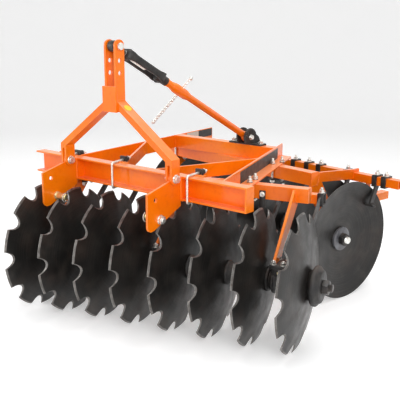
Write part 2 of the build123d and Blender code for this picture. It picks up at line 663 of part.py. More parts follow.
LUG_FOOT = STAY_Z - BEAM_TOP - BRACKET_T
LUG_R = 20.0
with BuildPart() as stay_bracket:
    with BuildSketch(level(BEAM_TOP)):
        with Locations((STAY_X - 12, CROSS_Y + CROSS_DEPTH / 2)):
            Rectangle(BRACKET_W, CROSS_DEPTH)
    extrude(amount=BRACKET_T)
    for side in (-LUG_IN - LUG_T, LUG_IN):
        with BuildSketch(bracket_side(side)):
            with BuildLine():
                Polyline((2, -LUG_FOOT - 1), (46, -LUG_FOOT - 1), (LUG_R, 0), (-LUG_R, 0), close=True)
            make_face()
            Circle(LUG_R)
            Circle(LOWER_PIN_R, mode=Mode.SUBTRACT)
        extrude(amount=LUG_T)
    with BuildSketch(bracket_side(-LUG_IN - LUG_T)):
        with Locations((DRUM_BACK, -LUG_FOOT)):
            Circle(DRUM_R)
        with Locations((0, -LUG_FOOT)):
            Rectangle(4 * DRUM_R, 2 * DRUM_R, align=(Align.CENTER, Align.MAX), mode=Mode.SUBTRACT)
        with Locations((LOWER_EYE_R + 4, -LUG_FOOT)):
            Rectangle(4 * DRUM_R, 4 * DRUM_R, align=(Align.MAX, Align.CENTER), mode=Mode.SUBTRACT)
    extrude(amount=2 * LUG_IN + 2 * LUG_T)

with BuildPart() as stay_bracket_pin:
    with BuildSketch(bracket_side(-LUG_IN - LUG_T)):
        Circle(LOWER_PIN_R)
    extrude(amount=2 * LUG_IN + 2 * LUG_T)
    with BuildSketch(bracket_side(LUG_IN + LUG_T)):
        RegularPolygon(18, 6)
    extrude(amount=10)
    with BuildSketch(bracket_side(-LUG_IN - LUG_T - 10)):
        RegularPolygon(18, 6)
    extrude(amount=10)

# Gang beams: channels with their web forward, bolted under the side beams.
FRONT_BEAM_FROM = -10.0
FRONT_BEAM_TO = 1165.0
REAR_BEAM_FROM = -1165.0
REAR_BEAM_TO = -96.0
with BuildPart() as front_gang_beam:
    with BuildSketch(front_plane(FRONT_BEAM_FROM, GANG_Z)):
        with Locations((FRONT_OFF, 0)):
            Rectangle(GANG_W, GANG_H, align=(Align.CENTER, Align.MIN))
        with Locations((FRONT_OFF + GANG_T, GANG_T)):
            Rectangle(GANG_W, GANG_H - 2 * GANG_T, align=(Align.CENTER, Align.MIN), mode=Mode.SUBTRACT)
    extrude(amount=FRONT_BEAM_TO - FRONT_BEAM_FROM)

with BuildPart() as rear_gang_beam:
    with BuildSketch(rear_plane(REAR_BEAM_FROM, GANG_Z)):
        with Locations((REAR_OFF, 0)):
            Rectangle(GANG_W, GANG_H, align=(Align.CENTER, Align.MIN))
        with Locations((REAR_OFF + GANG_T, GANG_T)):
            Rectangle(GANG_W, GANG_H - 2 * GANG_T, align=(Align.CENTER, Align.MIN), mode=Mode.SUBTRACT)
    extrude(amount=REAR_BEAM_TO - REAR_BEAM_FROM)

# Hangers: a tapered plate with a flange on its front edge, ending in a pad over each bearing.
PAD_Z = HOUSING_R + PAD_T
PAD_L = 96.0
PAD_W = 64.0
BEAM_UNDER = GANG_Z - DISC_R


HANGER_TOP = GANG_Z + GANG_H - GANG_T - DISC_R
HANGER_FOOT = PAD_Z + PAD_T
FOOT_HALF = PAD_L / 2 - 8
FRONT_FACE = FRONT_OFF - GANG_W / 2
REAR_BACK = REAR_OFF + GANG_W / 2
FRONT_HANGER = [
    (FRONT_FACE - HANGER_LAP, HANGER_TOP),
    (FRONT_FACE, HANGER_TOP),
    (FRONT_FACE, BEAM_UNDER),
    (FRONT_FACE + GANG_W, BEAM_UNDER),
    (FOOT_HALF, HANGER_FOOT),
    (-FOOT_HALF, HANGER_FOOT),
]
REAR_HANGER = [
    (REAR_BACK, HANGER_TOP),
    (REAR_BACK, BEAM_UNDER),
    (REAR_BACK - GANG_W, BEAM_UNDER),
    (REAR_BACK - GANG_W, BEAM_UNDER - GANG_W),
    (-FOOT_HALF, HANGER_FOOT),
    (FOOT_HALF, HANGER_FOOT),
]

with BuildPart() as front_hangers:
    for k in BEARING_AT:
        with BuildSketch(front_plane(k * PITCH + FRONT_HANGER_S - HANGER_T / 2)):
            with BuildLine():
                Polyline(*FRONT_HANGER, close=True)
            make_face()
        extrude(amount=HANGER_T)
        with BuildSketch(front_plane(k * PITCH + BEARING_S - PAD_W / 2)):
            with Locations((0, PAD_Z)):
                Rectangle(PAD_L, PAD_T, align=(Align.CENTER, Align.MIN))
        extrude(amount=PAD_W)

with BuildPart() as rear_hangers:
    for k in BEARING_AT:
        with BuildSketch(rear_plane(-k * PITCH - REAR_HANGER_S - HANGER_T / 2)):
            with BuildLine():
                Polyline(*REAR_HANGER, close=True)
            make_face()
        extrude(amount=HANGER_T)
        with BuildSketch(rear_plane(-k * PITCH - BEARING_S - PAD_W / 2)):
            with Locations((0, PAD_Z)):
                Rectangle(PAD_L, PAD_T, align=(Align.CENTER, Align.MIN))
        extrude(amount=PAD_W)

# Bearing housings: round castings with a flat seat on top, bored for the spool journal.
with BuildPart() as front_bearings:
    for k in BEARING_AT:
        mid = k * PITCH + BEARING_S
        with BuildSketch(front_plane(mid - HOUSING_L / 2)):
            RegularPolygon(HOUSING_R, ROUND_SIDES)
            with Locations((0, 0)):
                Rectangle(2 * HOUSING_R - 24, PAD_Z, align=(Align.CENTER, Align.MIN))
            Circle(JOURNAL_R + BEARING_FIT, mode=Mode.SUBTRACT)
        extrude(amount=HOUSING_L)

with BuildPart() as rear_bearings:
    for k in BEARING_AT:
        mid = -k * PITCH - BEARING_S
        with BuildSketch(rear_plane(mid - HOUSING_L / 2)):
            RegularPolygon(HOUSING_R, ROUND_SIDES)
            with Locations((0, 0)):
                Rectangle(2 * HOUSING_R - 24, PAD_Z, align=(Align.CENTER, Align.MIN))
            Circle(JOURNAL_R + BEARING_FIT, mode=Mode.SUBTRACT)
        extrude(amount=HOUSING_L)

NOTCH_OUTLINE = [
    (12, NOTCH_W / 2 + 2),
    (12, -NOTCH_W / 2 - 2),
    (-NOTCH_DEPTH * 0.55, -NOTCH_W / 2 + 2),
    (-NOTCH_DEPTH, -NOTCH_W / 4),
    (-NOTCH_DEPTH, NOTCH_W / 4),
    (-NOTCH_DEPTH * 0.55, NOTCH_W / 2 - 2),
]

# Discs: rim, shoulder and hub rings joined by flat facets, square hole for the axle.
SHOULDER_R = 180.0
DISH_RATE = DISC_DISH / (DISC_R ** 2 - HUB_R ** 2)
SHOULDER_S = DISC_DISH - DISH_RATE * (SHOULDER_R ** 2 - HUB_R ** 2)
DISC_RINGS = ((DISC_R, 0.0), (SHOULDER_R, SHOULDER_S), (HUB_R, DISC_DISH))
BORE = AXLE_SQ + 2 * AXLE_FIT


def steps(rings):
    # Pairs of neighbouring rings, each ring being (corner radius, distance along the axle).
    return zip(rings, rings[1:])


def draft(near, far, sides):
    # Slope in degrees of the flat facets between two rings of a many-sided cone.
    return degrees(atan(cos(radians(180 / sides)) * (near[0] - far[0]) / (far[1] - near[1])))


with BuildPart() as plain_blank:
    for near, far in steps(DISC_RINGS):
        with BuildSketch(Plane.XY.offset(near[1])):
            RegularPolygon(near[0], DISC_SIDES, rotation=-90)
        extrude(amount=far[1] - near[1], taper=draft(near, far, DISC_SIDES))
    for near, far in steps(DISC_RINGS):
        with BuildSketch(Plane.XY.offset(near[1] - DISC_T)):
            RegularPolygon(near[0], DISC_SIDES, rotation=-90)
        extrude(amount=far[1] - near[1], taper=draft(near, far, DISC_SIDES), mode=Mode.SUBTRACT)
    with BuildSketch(Plane.XY):
        Rectangle(BORE, BORE)
    extrude(amount=DISC_DISH + 1, mode=Mode.SUBTRACT)

with BuildPart() as notched_blank:
    add(plain_blank.part)
    with BuildSketch(Plane.XY.offset(-1)):
        with PolarLocations(DISC_R, NOTCHES):
            Polygon(*NOTCH_OUTLINE, align=None)
    extrude(amount=SHOULDER_S, mode=Mode.SUBTRACT)

with BuildPart() as front_discs:
    with Locations(*[front_plane(k * PITCH) for k in range(DISC_COUNT)]):
        add(notched_blank.part)

with BuildPart() as rear_discs:
    with Locations(*[rear_back(k * PITCH) for k in range(DISC_COUNT)]):
        add(plain_blank.part)

# Spools: waisted castings between the discs; those in a bearing carry a turned journal.
SPOOL_L = PITCH - DISC_T
JOURNAL_FROM = BEARING_S - DISC_DISH - JOURNAL_L / 2
JOURNAL_TO = JOURNAL_FROM + JOURNAL_L
SPOOL_RINGS = ((SPOOL_R, 0.0), (SPOOL_WAIST_R, SPOOL_L / 2), (SPOOL_R, SPOOL_L))
TAIL_RINGS = ((SPOOL_R - 6, JOURNAL_TO), (SPOOL_WAIST_R, JOURNAL_TO + 30), (SPOOL_R, SPOOL_L))
SPOOL_AT = [k for k in range(DISC_COUNT - 1) if k not in BEARING_AT]

with BuildPart() as spool_blank:
    for near, far in steps(SPOOL_RINGS):
        with BuildSketch(Plane.XY.offset(near[1])):
            RegularPolygon(near[0], ROUND_SIDES)
        extrude(amount=far[1] - near[1], taper=draft(near, far, ROUND_SIDES))
    with BuildSketch(Plane.XY):
        Rectangle(BORE, BORE)
    extrude(amount=SPOOL_L, mode=Mode.SUBTRACT)

with BuildPart() as journal_blank:
    with BuildSketch(Plane.XY):
        RegularPolygon(SPOOL_R, ROUND_SIDES)
    extrude(amount=JOURNAL_FROM)
    with BuildSketch(Plane.XY.offset(JOURNAL_FROM)):
        Circle(JOURNAL_R)
    extrude(amount=JOURNAL_L)
    for near, far in steps(TAIL_RINGS):
        with BuildSketch(Plane.XY.offset(near[1])):
            RegularPolygon(near[0], ROUND_SIDES)
        extrude(amount=far[1] - near[1], taper=draft(near, far, ROUND_SIDES))
    with BuildSketch(Plane.XY):
        Rectangle(BORE, BORE)
    extrude(amount=SPOOL_L, mode=Mode.SUBTRACT)

with BuildPart() as front_spools:
    with Locations(*[front_plane(k * PITCH + DISC_DISH) for k in SPOOL_AT]):
        add(spool_blank.part)
    with Locations(*[front_plane(k * PITCH + DISC_DISH) for k in BEARING_AT]):
        add(journal_blank.part)

with BuildPart() as rear_spools:
    with Locations(*[rear_back(k * PITCH + DISC_DISH) for k in SPOOL_AT]):
        add(spool_blank.part)
    with Locations(*[rear_back(k * PITCH + DISC_DISH) for k in BEARING_AT]):
        add(journal_blank.part)

# End bells press the stack together: a deep bell on the convex side, a flat one in the hollow side.
LAST = (DISC_COUNT - 1) * PITCH
WASHER_R = 56.0
WASHER_T = 12.0
BELL_S = LAST + DISC_DISH
WASHER_S = DISC_DISH - DISC_T - WASHER_T
BELL_RINGS = ((BELL_R - 22, 0.0), (BELL_R, 14.0), (BELL_R, 30.0), (BELL_R - 16, BELL_DEPTH))

with BuildPart() as bell_blank:
    for near, far in steps(BELL_RINGS):
        with BuildSketch(Plane.XY.offset(near[1])):
            RegularPolygon(near[0], ROUND_SIDES)
        extrude(amount=far[1] - near[1], taper=draft(near, far, ROUND_SIDES))
    with BuildSketch(Plane.XY):
        Rectangle(BORE, BORE)
    extrude(amount=BELL_DEPTH, mode=Mode.SUBTRACT)

with BuildPart() as front_end_bells:
    with Locations(front_plane(BELL_S)):
        add(bell_blank.part)
    with BuildSketch(front_plane(WASHER_S)):
        RegularPolygon(WASHER_R, ROUND_SIDES)
        Rectangle(BORE, BORE, mode=Mode.SUBTRACT)
    extrude(amount=WASHER_T)

with BuildPart() as rear_end_bells:
    with Locations(rear_back(BELL_S)):
        add(bell_blank.part)
    with BuildSketch(rear_back(WASHER_S)):
        RegularPolygon(WASHER_R, ROUND_SIDES)
        Rectangle(BORE, BORE, mode=Mode.SUBTRACT)
    extrude(amount=WASHER_T)

# Axles: one square bar through each gang with a hexagon nut on both ends.
AXLE_NUT_R = 30.0
AXLE_NUT_T = 26.0
AXLE_TAIL = 14.0
AXLE_FROM = DISC_DISH - DISC_T - WASHER_T - AXLE_NUT_T - AXLE_TAIL
AXLE_TO = LAST + DISC_DISH + BELL_DEPTH + AXLE_NUT_T + AXLE_TAIL
with BuildPart() as front_axle:
    with BuildSketch(front_plane(AXLE_FROM)):
        Rectangle(AXLE_SQ, AXLE_SQ)
    extrude(amount=AXLE_TO - AXLE_FROM)
    for start in (AXLE_FROM + AXLE_TAIL, AXLE_TO - AXLE_TAIL - AXLE_NUT_T):
        with BuildSketch(front_plane(start)):
            RegularPolygon(AXLE_NUT_R, 6)
        extrude(amount=AXLE_NUT_T)

with BuildPart() as rear_axle:
    with BuildSketch(rear_back(AXLE_FROM)):
        Rectangle(AXLE_SQ, AXLE_SQ)
    extrude(amount=AXLE_TO - AXLE_FROM)
    for start in (AXLE_FROM + AXLE_TAIL, AXLE_TO - AXLE_TAIL - AXLE_NUT_T):
        with BuildSketch(rear_back(start)):
            RegularPolygon(AXLE_NUT_R, 6)
        extrude(amount=AXLE_NUT_T)

# Scraper bars: square tubes behind the gangs on gusset arms from the gang beams.
BAR_TOP = BAR_Z + BAR_SQ / 2 - DISC_R
BAR_LOW = BAR_Z - BAR_SQ / 2 - DISC_R
IN_LOW = GANG_Z + GANG_T - DISC_R
IN_TOP = GANG_Z + GANG_H - GANG_T - DISC_R
FRONT_BAR_FACE = FRONT_BAR_OFF - BAR_SQ / 2
REAR_BAR_FACE = REAR_BAR_OFF - BAR_SQ / 2
FRONT_WEB = FRONT_OFF - GANG_W / 2 + GANG_T
REAR_WEB = REAR_OFF - GANG_W / 2 + GANG_T
FRONT_TIP = FRONT_OFF + GANG_W / 2
REAR_TIP = REAR_OFF + GANG_W / 2
FRONT_ARM = [
    (FRONT_WEB, IN_LOW),
    (FRONT_WEB, IN_TOP),
    (FRONT_TIP, IN_TOP),
    (FRONT_BAR_FACE, BAR_TOP),
    (FRONT_BAR_FACE, BAR_LOW),
    (FRONT_TIP, IN_LOW),
]
REAR_ARM = [
    (REAR_WEB, IN_LOW),
    (REAR_WEB, IN_TOP),
    (REAR_TIP, IN_TOP),
    (REAR_BAR_FACE, BAR_TOP + 16),
    (REAR_BAR_FACE + BAR_SQ, BAR_TOP + 16),
    (REAR_BAR_FACE + BAR_SQ, BAR_TOP),
    (REAR_BAR_FACE, BAR_TOP),
    (REAR_BAR_FACE, BAR_LOW + 8),
    (REAR_TIP, IN_LOW),
]
FRONT_BAR_FROM = -30.0
FRONT_BAR_TO = 1180.0
REAR_BAR_FROM = -1230.0
REAR_BAR_TO = 143.0
FRONT_ARM_S = 100.0
REAR_ARM_S = 122.0
END_ARM_FROM = 160.0
END_ARM_TO = 358.0
END_ARM_S = 42.0
END_ARM_T = 8.0
END_ARM_H = 37.0
END_ARM_W = 43.0
END_ARM_TOP = BAR_LOW - 67
with BuildPart() as front_scraper_bar:
    with BuildSketch(front_plane(FRONT_BAR_FROM, BAR_Z)):
        with Locations((FRONT_BAR_OFF, 0)):
            Rectangle(BAR_SQ, BAR_SQ)
            Rectangle(BAR_SQ - 2 * BAR_WALL, BAR_SQ - 2 * BAR_WALL, mode=Mode.SUBTRACT)
    extrude(amount=FRONT_BAR_TO - FRONT_BAR_FROM)
    for k in BEARING_AT:
        with BuildSketch(front_plane(k * PITCH + FRONT_ARM_S)):
            with BuildLine():
                Polyline(*FRONT_ARM, close=True)
            make_face()
        extrude(amount=HANGER_T)

with BuildPart() as rear_scraper_bar:
    with BuildSketch(rear_plane(REAR_BAR_FROM, BAR_Z)):
        with Locations((REAR_BAR_OFF, 0)):
            Rectangle(BAR_SQ, BAR_SQ)
            Rectangle(BAR_SQ - 2 * BAR_WALL, BAR_SQ - 2 * BAR_WALL, mode=Mode.SUBTRACT)
    extrude(amount=REAR_BAR_TO - REAR_BAR_FROM)
    for k in BEARING_AT:
        with BuildSketch(rear_plane(-k * PITCH - REAR_ARM_S)):
            with BuildLine():
                Polyline(*REAR_ARM, close=True)
            make_face()
        extrude(amount=HANGER_T)
    # Angle arm under the right end, hung from the tube on a short riser.
    with BuildSketch(rear_plane(-END_ARM_S)):
        with Locations((END_ARM_FROM, END_ARM_TOP)):
            Rectangle(END_ARM_TO - END_ARM_FROM, END_ARM_H, align=(Align.MIN, Align.MAX))
        with Locations((REAR_BAR_OFF, END_ARM_TOP)):
            Rectangle(BAR_SQ - 12, BAR_LOW - END_ARM_TOP, align=(Align.CENTER, Align.MIN))
    extrude(amount=END_ARM_T)
    with BuildSketch(rear_plane(-END_ARM_S - END_ARM_W + END_ARM_T)):
        with Locations((END_ARM_FROM, END_ARM_TOP)):
            Rectangle(END_ARM_TO - END_ARM_FROM, END_ARM_T, align=(Align.MIN, Align.MAX))
    extrude(amount=END_ARM_W)

# Scrapers: a clamp round the bar, a shank beside the rim and a blade reaching into the hollow side.
CLAMP_OUT = BAR_SQ + 2 * CLAMP_FIT + 2 * CLAMP_T
CLAMP_IN = BAR_SQ + 2 * CLAMP_FIT
BLADE_R = 218.0
BLADE_REACH = DISC_DISH - DISH_RATE * (BLADE_R ** 2 - HUB_R ** 2) - DISC_T - SCRAPER_GAP
FRONT_RING = FRONT_BAR_OFF - CLAMP_OUT / 2
RING_LOW = BAR_Z - DISC_R - CLAMP_OUT / 2
FRONT_SHANK = [
    (FRONT_RING + 3, BAR_TOP - 6),
    (FRONT_RING + 3, BAR_LOW + 4),
    (166, 138),
    (148, 160),
]
FRONT_BLADE = [(148, 160), (166, 138), (159, 132), (141, 154)]
REAR_SHANK = [
    (REAR_BAR_OFF + 14, RING_LOW + 3),
    (REAR_BAR_OFF - 14, RING_LOW + 3),
    (138, 152),
    (160, 146),
]
REAR_BLADE = [(138, 152), (160, 146), (157, 138), (135, 144)]
with BuildPart() as front_scrapers:
    for k in range(DISC_COUNT):
        shank_s = k * PITCH - SCRAPER_GAP - SHANK_T
        with BuildSketch(front_plane(shank_s + SHANK_T / 2 - CLAMP_W / 2, BAR_Z)):
            with Locations((FRONT_BAR_OFF, 0)):
                Rectangle(CLAMP_OUT, CLAMP_OUT)
                Rectangle(CLAMP_IN, CLAMP_IN, mode=Mode.SUBTRACT)
        extrude(amount=CLAMP_W)
        with BuildSketch(front_plane(shank_s)):
            with BuildLine():
                Polyline(*FRONT_SHANK, close=True)
            make_face()
        extrude(amount=SHANK_T)
        with BuildSketch(front_plane(shank_s)):
            with BuildLine():
                Polyline(*FRONT_BLADE, close=True)
            make_face()
        extrude(amount=SHANK_T + SCRAPER_GAP + BLADE_REACH)

with BuildPart() as rear_scrapers:
    for k in range(DISC_COUNT):
        shank_s = -k * PITCH + SCRAPER_GAP
        with BuildSketch(rear_plane(shank_s + SHANK_T / 2 - CLAMP_W / 2, BAR_Z)):
            with Locations((REAR_BAR_OFF, 0)):
                Rectangle(CLAMP_OUT, CLAMP_OUT)
                Rectangle(CLAMP_IN, CLAMP_IN, mode=Mode.SUBTRACT)
        extrude(amount=CLAMP_W)
        with BuildSketch(rear_plane(shank_s)):
            with BuildLine():
                Polyline(*REAR_SHANK, close=True)
            make_face()
        extrude(amount=SHANK_T)
        with BuildSketch(rear_plane(shank_s - SCRAPER_GAP - BLADE_REACH)):
            with BuildLine():
                Polyline(*REAR_BLADE, close=True)
            make_face()
        extrude(amount=SHANK_T + SCRAPER_GAP + BLADE_REACH)

front_beam.part.label = "front_beam"
export_step(front_beam.part, "parts/front_beam.step")
left_side_beam.part.label = "left_side_beam"
export_step(left_side_beam.part, "parts/left_side_beam.step")
right_side_beam.part.label = "right_side_beam"
export_step(right_side_beam.part, "parts/right_side_beam.step")
rear_crossbeam.part.label = "rear_crossbeam"
export_step(rear_crossbeam.part, "parts/rear_crossbeam.step")
left_brace.part.label = "left_brace"
export_step(left_brace.part, "parts/left_brace.step")
right_brace.part.label = "right_brace"
export_step(right_brace.part, "parts/right_brace.step")
beam_cleats.part.label = "beam_cleats"
export_step(beam_cleats.part, "parts/beam_cleats.step")
left_hitch_plate.part.label = "left_hitch_plate"
export_step(left_hitch_plate.part, "parts/left_hitch_plate.step")
right_hitch_plate.part.label = "right_hitch_plate"
export_step(right_hitch_plate.part, "parts/right_hitch_plate.step")
left_hitch_pin.part.label = "left_hitch_pin"
export_step(left_hitch_pin.part, "parts/left_hitch_pin.step")
right_hitch_pin.part.label = "right_hitch_pin"
export_step(right_hitch_pin.part, "parts/right_hitch_pin.step")
mast_right_arm.part.label = "mast_right_arm"
export_step(mast_right_arm.part, "parts/mast_right_arm.step")
mast_left_arm.part.label = "mast_left_arm"
export_step(mast_left_arm.part, "parts/mast_left_arm.step")
mast_foot_pins.part.label = "mast_foot_pins"
export_step(mast_foot_pins.part, "parts/mast_foot_pins.step")
mast_left_plate.part.label = "mast_left_plate"
export_step(mast_left_plate.part, "parts/mast_left_plate.step")
mast_right_plate.part.label = "mast_right_plate"
export_step(mast_right_plate.part, "parts/mast_right_plate.step")
mast_front_plate.part.label = "mast_front_plate"
export_step(mast_front_plate.part, "parts/mast_front_plate.step")
mast_top_pin.part.label = "mast_top_pin"
export_step(mast_top_pin.part, "parts/mast_top_pin.step")
stay_screw.part.label = "stay_screw"
export_step(stay_screw.part, "parts/stay_screw.step")
stay_turnbuckle.part.label = "stay_turnbuckle"
export_step(stay_turnbuckle.part, "parts/stay_turnbuckle.step")
stay_tube.part.label = "stay_tube"
export_step(stay_tube.part, "parts/stay_tube.step")
tommy_bar.part.label = "tommy_bar"
export_step(tommy_bar.part, "parts/tommy_bar.step")
stay_bracket.part.label = "stay_bracket"
export_step(stay_bracket.part, "parts/stay_bracket.step")
stay_bracket_pin.part.label = "stay_bracket_pin"
export_step(stay_bracket_pin.part, "parts/stay_bracket_pin.step")
front_gang_beam.part.label = "front_gang_beam"
export_step(front_gang_beam.part, "parts/front_gang_beam.step")
rear_gang_beam.part.label = "rear_gang_beam"
export_step(rear_gang_beam.part, "parts/rear_gang_beam.step")
front_hangers.part.label = "front_hangers"
export_step(front_hangers.part, "parts/front_hangers.step")
rear_hangers.part.label = "rear_hangers"
export_step(rear_hangers.part, "parts/rear_hangers.step")
front_bearings.part.label = "front_bearings"
export_step(front_bearings.part, "parts/front_bearings.step")
rear_bearings.part.label = "rear_bearings"
export_step(rear_bearings.part, "parts/rear_bearings.step")
front_discs.part.label = "front_discs"
export_step(front_discs.part, "parts/front_discs.step")
rear_discs.part.label = "rear_discs"
export_step(rear_discs.part, "parts/rear_discs.step")
front_spools.part.label = "front_spools"
export_step(front_spools.part, "parts/front_spools.step")
rear_spools.part.label = "rear_spools"
export_step(rear_spools.part, "parts/rear_spools.step")
front_end_bells.part.label = "front_end_bells"
export_step(front_end_bells.part, "parts/front_end_bells.step")
rear_end_bells.part.label = "rear_end_bells"
export_step(rear_end_bells.part, "parts/rear_end_bells.step")
front_axle.part.label = "front_axle"
export_step(front_axle.part, "parts/front_axle.step")
rear_axle.part.label = "rear_axle"
export_step(rear_axle.part, "parts/rear_axle.step")
front_scraper_bar.part.label = "front_scraper_bar"
export_step(front_scraper_bar.part, "parts/front_scraper_bar.step")
rear_scraper_bar.part.label = "rear_scraper_bar"
export_step(rear_scraper_bar.part, "parts/rear_scraper_bar.step")
front_scrapers.part.label = "front_scrapers"
export_step(front_scrapers.part, "parts/front_scrapers.step")
rear_scrapers.part.label = "rear_scrapers"
export_step(rear_scrapers.part, "parts/rear_scrapers.step")
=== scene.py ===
import math
import random

import bmesh
import bpy
from mathutils import Matrix, Vector


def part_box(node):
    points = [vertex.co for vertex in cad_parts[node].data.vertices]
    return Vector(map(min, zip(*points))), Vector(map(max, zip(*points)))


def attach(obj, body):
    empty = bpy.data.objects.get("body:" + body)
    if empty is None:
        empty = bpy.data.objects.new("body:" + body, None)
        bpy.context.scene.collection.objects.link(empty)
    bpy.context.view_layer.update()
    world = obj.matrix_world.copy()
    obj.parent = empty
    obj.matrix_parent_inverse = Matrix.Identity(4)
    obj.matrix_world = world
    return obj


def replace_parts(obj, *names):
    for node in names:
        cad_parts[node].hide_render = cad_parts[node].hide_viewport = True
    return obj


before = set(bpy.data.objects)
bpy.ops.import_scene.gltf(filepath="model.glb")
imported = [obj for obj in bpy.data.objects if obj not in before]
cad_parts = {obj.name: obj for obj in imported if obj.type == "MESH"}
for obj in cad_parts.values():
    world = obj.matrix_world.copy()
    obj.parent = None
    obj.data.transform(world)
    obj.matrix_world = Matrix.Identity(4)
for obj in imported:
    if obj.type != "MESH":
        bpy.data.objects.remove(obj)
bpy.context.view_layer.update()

# The main frame: a channel beam in front, two angle side beams, a crossbeam behind and two braces.
# It is rolled mild steel, cut to length, welded, and sprayed with one coat of orange enamel, which
# is thin along the cut edges and carries some field dust on whatever faces up. A painted highlight
# pales the edges, and painted top light pales the upward faces further.

MIDDLE_X = 505.8
MIDDLE_Y = 576.9


def spot(x, y, z):
    """A place in millimetres from the first front disc's centre on the floor, as the frame's metres."""
    return Vector((x - MIDDLE_X, y - MIDDLE_Y, z)) / 1000


def colour(red, green, blue):
    """A paint colour as a screen shows it, 0 to 255, made linear for the shader."""
    return tuple(((c / 255 + 0.055) / 1.055) ** 2.4 for c in (red, green, blue)) + (1.0,)


def add_node(material, kind, sockets, **settings):
    """One shader node; each socket takes a plain value or another node's output."""
    made = material.node_tree.nodes.new(kind)
    for name, value in settings.items():
        setattr(made, name, value)
    for name, value in sockets.items():
        if isinstance(value, bpy.types.NodeSocket):
            material.node_tree.links.new(value, made.inputs[name])
        else:
            made.inputs[name].default_value = value
    return made


def cloud(material, scale, low, high, detail=4.0):
    """Cloudy noise over the object, with low..high of it spread to 0..1."""
    place = add_node(material, "ShaderNodeTexCoord", {}).outputs["Object"]
    noise = add_node(material, "ShaderNodeTexNoise", {"Vector": place, "Scale": scale, "Detail": detail})
    spread = {"Value": noise.outputs["Fac"], "From Min": low, "From Max": high}
    return add_node(material, "ShaderNodeMapRange", spread).outputs["Result"]


def blended(material, amount, first, second):
    """The first colour going over to the second by the amount."""
    made = add_node(material, "ShaderNodeMix", {0: amount, 6: first, 7: second}, data_type="RGBA")
    return made.outputs[2]


def product(material, first, second):
    """Two masks multiplied."""
    return add_node(material, "ShaderNodeMath", {0: first, 1: second}, operation="MULTIPLY").outputs[0]


def between(material, mask, low, high):
    """A mask of 0..1 as a value from low to high."""
    spread = {"Value": mask, "To Min": low, "To Max": high}
    return add_node(material, "ShaderNodeMapRange", spread).outputs["Result"]


def sharp_edges(material, radius):
    """A mask that rises along sharp outer edges, where paint is thin and wears first, and where highlights
    are painted.
    """
    rounded = add_node(material, "ShaderNodeBevel", {"Radius": radius}, samples=4).outputs["Normal"]
    flat = add_node(material, "ShaderNodeNewGeometry", {}).outputs["Normal"]
    turn = add_node(material, "ShaderNodeVectorMath", {0: rounded, 1: flat}, operation="DOT_PRODUCT")
    spread = {"Value": turn.outputs["Value"], "From Min": 0.995, "From Max": 0.86}
    return add_node(material, "ShaderNodeMapRange", spread).outputs["Result"]


def facing_up(material, start):
    """A mask of the faces that look up, where dust settles and where painted top light goes."""
    normal = add_node(material, "ShaderNodeNewGeometry", {}).outputs["Normal"]
    height = add_node(material, "ShaderNodeSeparateXYZ", {"Vector": normal}).outputs["Z"]
    spread = {"Value": height, "From Min": start, "From Max": 1.0}
    return add_node(material, "ShaderNodeMapRange", spread).outputs["Result"]


def new_finish(name, metallic, coat=0.0, coat_roughness=0.2):
    """An empty finish: the material and its shader."""
    material = bpy.data.materials.new(name)
    material.use_nodes = True
    shader = material.node_tree.nodes["Principled BSDF"]
    shader.inputs["Metallic"].default_value = metallic
    shader.inputs["Coat Weight"].default_value = coat
    shader.inputs["Coat Roughness"].default_value = coat_roughness
    return material, shader


def join_up(material, shader, base, roughness, coarse, fine, depth):
    """Wires a finish: its colour, its roughness and a bump of a coarse and a fine pattern."""
    wires = material.node_tree.links
    wires.new(base, shader.inputs["Base Color"])
    wires.new(roughness, shader.inputs["Roughness"])
    swell = add_node(material, "ShaderNodeBump", {"Height": coarse, "Strength": 0.5, "Distance": depth * 2})
    pores = {"Height": fine, "Strength": 0.6, "Distance": depth, "Normal": swell.outputs["Normal"]}
    wires.new(add_node(material, "ShaderNodeBump", pores).outputs["Normal"], shader.inputs["Normal"])


def orange_enamel(name, deep, bright, dust_and_top_light_share):
    """Sprayed orange: slow shifts of colour, orange-peel skin, chipped edges, paler edges of thin paint and
    painted highlight, and pale tops of dust and painted top light.
    """
    material, shader = new_finish(name, 0.0, coat=0.5, coat_roughness=0.12)
    shader.inputs["Specular IOR Level"].default_value = 0.2
    base = blended(material, cloud(material, 3.2, 0.38, 0.64), deep, bright)
    mottle = product(material, cloud(material, 55, 0.5, 0.72), 0.25)
    base = blended(material, mottle, base, colour(228, 88, 0))
    # Paler orange along the sharp edges: thin paint, and a painted highlight.
    thin_paint_and_highlight = product(material, sharp_edges(material, 0.0022), cloud(material, 38, 0.42, 0.6))
    base = blended(material, product(material, thin_paint_and_highlight, 0.55), base, colour(255, 190, 120))
    chips = product(material, sharp_edges(material, 0.0015), cloud(material, 120, 0.61, 0.66))
    base = blended(material, product(material, chips, 0.8), base, colour(92, 58, 42))
    # Pale pink on faces that look up: field dust, and painted top light from the overhead lamps.
    pale_tops = product(material, facing_up(material, 0.4), cloud(material, 8, 0.1, 0.6))
    base = blended(material, product(material, pale_tops, dust_and_top_light_share), base, colour(255, 206, 170))
    roughness = between(material, cloud(material, 24, 0.35, 0.7), 0.3, 0.46)
    join_up(material, shader, base, roughness, cloud(material, 16, 0, 1), cloud(material, 420, 0, 1), 0.00025)
    return material


paint = orange_enamel("orange_enamel", colour(255, 117, 0), colour(255, 131, 3), 0.24)


def dress(material, finish, rounding, *nodes):
    """Gives solids their finish and rounds their cut edges, as rolling and grinding leave them."""
    for name in nodes:
        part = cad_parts[name]
        part.material_slots[0].material = material
        part.modifiers.new("one_skin", "WELD").merge_threshold = 0.00002
        flats = part.modifiers.new("flats", "DECIMATE")
        flats.decimate_type = "DISSOLVE"
        flats.angle_limit = math.radians(1.0)
        edges = part.modifiers.new("rounded_edges", "BEVEL")
        edges.width = rounding
        edges.segments = 2
        edges.limit_method = "ANGLE"
        edges.angle_limit = math.radians(40)


dress(paint, "orange_paint", 0.0016, "front_beam", "left_side_beam", "right_side_beam", "rear_crossbeam")
dress(paint, "orange_paint", 0.0014, "left_brace", "right_brace", "beam_cleats")


